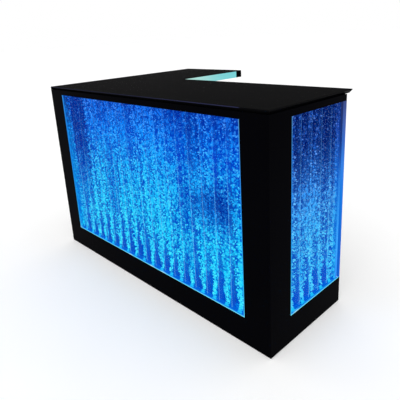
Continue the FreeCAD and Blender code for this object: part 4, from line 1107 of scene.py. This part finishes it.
def pin_rings(x, z):
    """An eight-cornered outline carried from the foot to the chamfer, and shrunk towards the tip."""
    outline = np.array(PIN_CORNERS) * PIN_HALF
    shrink = np.array(PIN_SHRINK)[:, None]
    rings = np.zeros((len(PIN_SHRINK), len(outline), 3))
    rings[:, :, 0] = x + shrink * outline[:, 0]
    rings[:, :, 1] = np.array([PIN_FOOT, PIN_TIP - PIN_CHAMFER, PIN_TIP])[:, None]
    rings[:, :, 2] = z + shrink * outline[:, 1]
    return rings


for number, (x, z) in enumerate(PIN_PLACES):
    pin = lofted(f"inlet_pin_{number}", pin_rings(x, z), chrome)
    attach(pin, "counter")

# Air pump: a die-cast case in blue-grey paint, with cooling ribs cast round it.
# It stands on the floor of the service bay, and its outlet boss carries the valve.


def case_look(root):
    grit = mottle(root, 420.0, 3.0)
    return {
        "Base Color": blended(root, mottle(root, 14.0, 3.0), (70, 84, 104), (86, 100, 120)),
        "Roughness": 0.4 + 0.15 * grit,
        "Normal": bumped(root, grit, 0.35, 0.0003),
    }


case_paint = finish("pump_case_paint", {"Specular IOR Level": 0.4}, case_look)
dress(case_paint, "air_pump")

RIB_HALF_WIDTH = 0.0022
RIB_HEIGHT = 0.0026
RIB_PROFILE = [(1.0, -0.2), (0.6, 1.0), (-0.6, 1.0), (-1.0, -0.2)]
RIB_PLACES = (0.455, 0.473, 0.491, 0.527, 0.545, 0.563)
CASE_MIDDLE = (-0.2705, 0.1595)
CASE_HALF = (0.055, 0.0475)
CASE_ROUNDING = 0.012
CORNER_STEPS = 7


def rib_rings(x):
    """A cooling rib round the case: a flat-topped profile carried round a rounded rectangle, whose
    corners are quarter circles that grow with the rib's height."""
    quarter = np.linspace(0, math.pi / 2, CORNER_STEPS)
    angle = np.concatenate([quarter + k * math.pi / 2 for k in range(4)])
    signs = np.repeat([(1, 1), (-1, 1), (-1, -1), (1, -1)], CORNER_STEPS, axis=0)
    middle = np.array(CASE_MIDDLE) + signs * (np.array(CASE_HALF) - CASE_ROUNDING)
    profile = np.array(RIB_PROFILE) * (RIB_HALF_WIDTH, RIB_HEIGHT)
    reach = CASE_ROUNDING + profile[:, 1]
    rings = np.zeros((len(angle), len(profile), 3))
    rings[:, :, 0] = x + profile[:, 0]
    rings[:, :, 1] = middle[:, :1] + reach * np.cos(angle)[:, None]
    rings[:, :, 2] = middle[:, 1:] + reach * np.sin(angle)[:, None]
    return rings


def hooped(rings):
    """Faces that join rings of points, and the last ring to the first."""
    count, around = rings.shape[:2]
    here = np.arange(count * around).reshape(count, around)
    return [walls(here, np.roll(here, -1, 0))]


for number, x in enumerate(RIB_PLACES):
    rings = rib_rings(x)
    rib = shell(f"pump_rib_{number}", rings.reshape(-1, 3), hooped(rings), case_paint)
    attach(rib, "counter")

# Air valve and drain couplings: turned brass, with faint turning marks.
# The valve's block sits on the pump's outlet boss, and the couplings pass through the tanks' back sheets.

brass = finish(
    "turned_brass", METAL, mottled_look, scale=120.0, detail=3.0,
    tones=((196, 152, 82), (222, 184, 112)), gloss=(0.2, 0.2),
)
dress(brass, "air_valve", "drain_ports")

# Pump feet: four soft black rubber buffers under the pump's case, to keep its hum out of the boards.
# Moulded, and pale where dust has settled on them.

rubber = finish(
    "pump_foot_rubber", {"Specular IOR Level": 0.25}, mottled_look, scale=200.0, detail=3.0,
    tones=((24, 24, 24), (44, 43, 42)), gloss=(0.7, 0.2), relief=(0.3, 0.0003),
)
dress(rubber, "pump_feet")

# Air hoses: clear soft PVC, a little milky.
# They are pushed over the valve's barbs and the stubs of the air bars.


def hose_look(root):
    film = mottle(root, 50.0, 3.0)
    return {
        "Base Color": blended(root, film, (178, 196, 200), (208, 220, 222)),
        "Roughness": 0.2 + 0.2 * film,
        "Alpha": 0.62 + 0.2 * film,
    }


hose = finish("clear_air_hose", {"Specular IOR Level": 0.5}, hose_look)
dress(hose, "front_air_hose", "end_air_hose")

# Mains rocker and valve levers: moulded in bright red plastic, with faint flow marks.
# The rocker snaps into its housing, and each lever's stem turns in the valve's block.

red_plastic = finish(
    "moulded_red_plastic", {"Specular IOR Level": 0.5}, mottled_look, scale=80.0, detail=2.0,
    tones=((176, 20, 22), (204, 34, 32)), gloss=(0.2, 0.15),
)
dress(red_plastic, "switch_rocker", "front_air_lever", "end_air_lever")

# Studio: a pale floor that runs to the horizon, three broad soft lamps, and a pale surround.
# The surround is white where the lens looks and dims above the horizon, as a studio does over its backdrop.

FLOOR_REACH = 60.0
FLOOR_LIFT = 0.24
AMBIENT = 0.32
LAMPS = (
    # lamp, strength, then spread, tilt and turn in degrees
    ("key_lamp", 1.5, 70.0, 38.0, 20.0),
    ("fill_lamp", 0.9, 80.0, 42.0, 150.0),
    ("back_lamp", 0.7, 80.0, 45.0, 265.0),
)


def rays(root, *kinds):
    """1 for a ray of one of these kinds, and 0 for any other."""
    found = [root.node("LightPath", out=f"Is {kind} Ray") for kind in kinds]
    return sum(found[1:], found[0]).clamped()


def floor_look(root):
    """White to the lens, straight, in a reflection or through a clear sheet, and pale grey to light."""
    seen = rays(root, "Camera", "Glossy", "Transmission")
    return {
        "Base Color": blended(root, mottle(root, 3.0, 4.0), (228, 228, 228), (232, 232, 232)),
        "Emission Color": blended(root, seen, UNLIT, (255, 255, 255)),
    }


PALE_FLOOR = {"Roughness": 0.9, "Specular IOR Level": 0.0, "Emission Strength": FLOOR_LIFT}
corners = np.array([(-1, -1, 0), (1, -1, 0), (1, 1, 0), (-1, 1, 0)]) * FLOOR_REACH
pale_floor = finish("pale_floor", PALE_FLOOR, floor_look)
studio_floor = shell("studio_floor", corners, [np.arange(4)[None]], pale_floor)

world = bpy.data.worlds.new("studio_surround")
bpy.context.scene.world = world
world.use_nodes = True
surround = Wire(world.node_tree)
background = world.node_tree.nodes["Background"]
rise = surround.node("SeparateXYZ", None, {0: surround.node("TexCoord", out="Generated")}, 2)
above = 0.02 + AMBIENT * rise.between(0.25, 0.8) + (1.0 - rise.between(0.02, 0.05))
glossy = surround.node("LightPath", out="Is Glossy Ray")
direct = rays(surround, "Camera", "Transmission")
level = direct + (1.0 - direct) * (glossy * above + (1.0 - glossy) * AMBIENT)
surround.feed(background.inputs["Strength"], level)
surround.feed(background.inputs["Color"], tone(255, 255, 255))

for name, strength, spread, tilt, turn in LAMPS:
    lamp = bpy.data.lights.new(name, "SUN")
    lamp.energy = strength
    lamp.angle = math.radians(spread)
    holder = bpy.data.objects.new(name, lamp)
    holder.matrix_world = (
        Matrix.Rotation(math.radians(turn), 4, "Z") @ Matrix.Rotation(math.radians(tilt), 4, "X")
    )
    bpy.context.scene.collection.objects.link(holder)

# Camera: it stands off the counter's right front corner, above the top, and looks a little down at it.
# Place, turn and lens were fitted to the counter's corners in the photograph.

SENSOR_WIDTH = 36.0
FOCAL_LENGTH = 38.915
SHIFT_UP = -0.0997
STAND = (1.6727, -1.6901, 1.2622)
SIDEWAYS = (0.69357, 0.71835, -0.05425)
UPWARD = (-0.16873, 0.23519, 0.95719)
BACKWARD = (0.70035, -0.65472, 0.28433)
lens = bpy.data.cameras.new("camera")
lens.sensor_fit = "HORIZONTAL"
lens.sensor_width = SENSOR_WIDTH
lens.lens = FOCAL_LENGTH
lens.shift_y = SHIFT_UP
viewer = bpy.data.objects.new("camera", lens)
turning = Matrix((SIDEWAYS, UPWARD, BACKWARD)).transposed().to_4x4()
viewer.matrix_world = Matrix.Translation(STAND) @ turning
bpy.context.scene.collection.objects.link(viewer)
bpy.context.scene.camera = viewer
bpy.context.scene.view_settings.view_transform = "Standard"
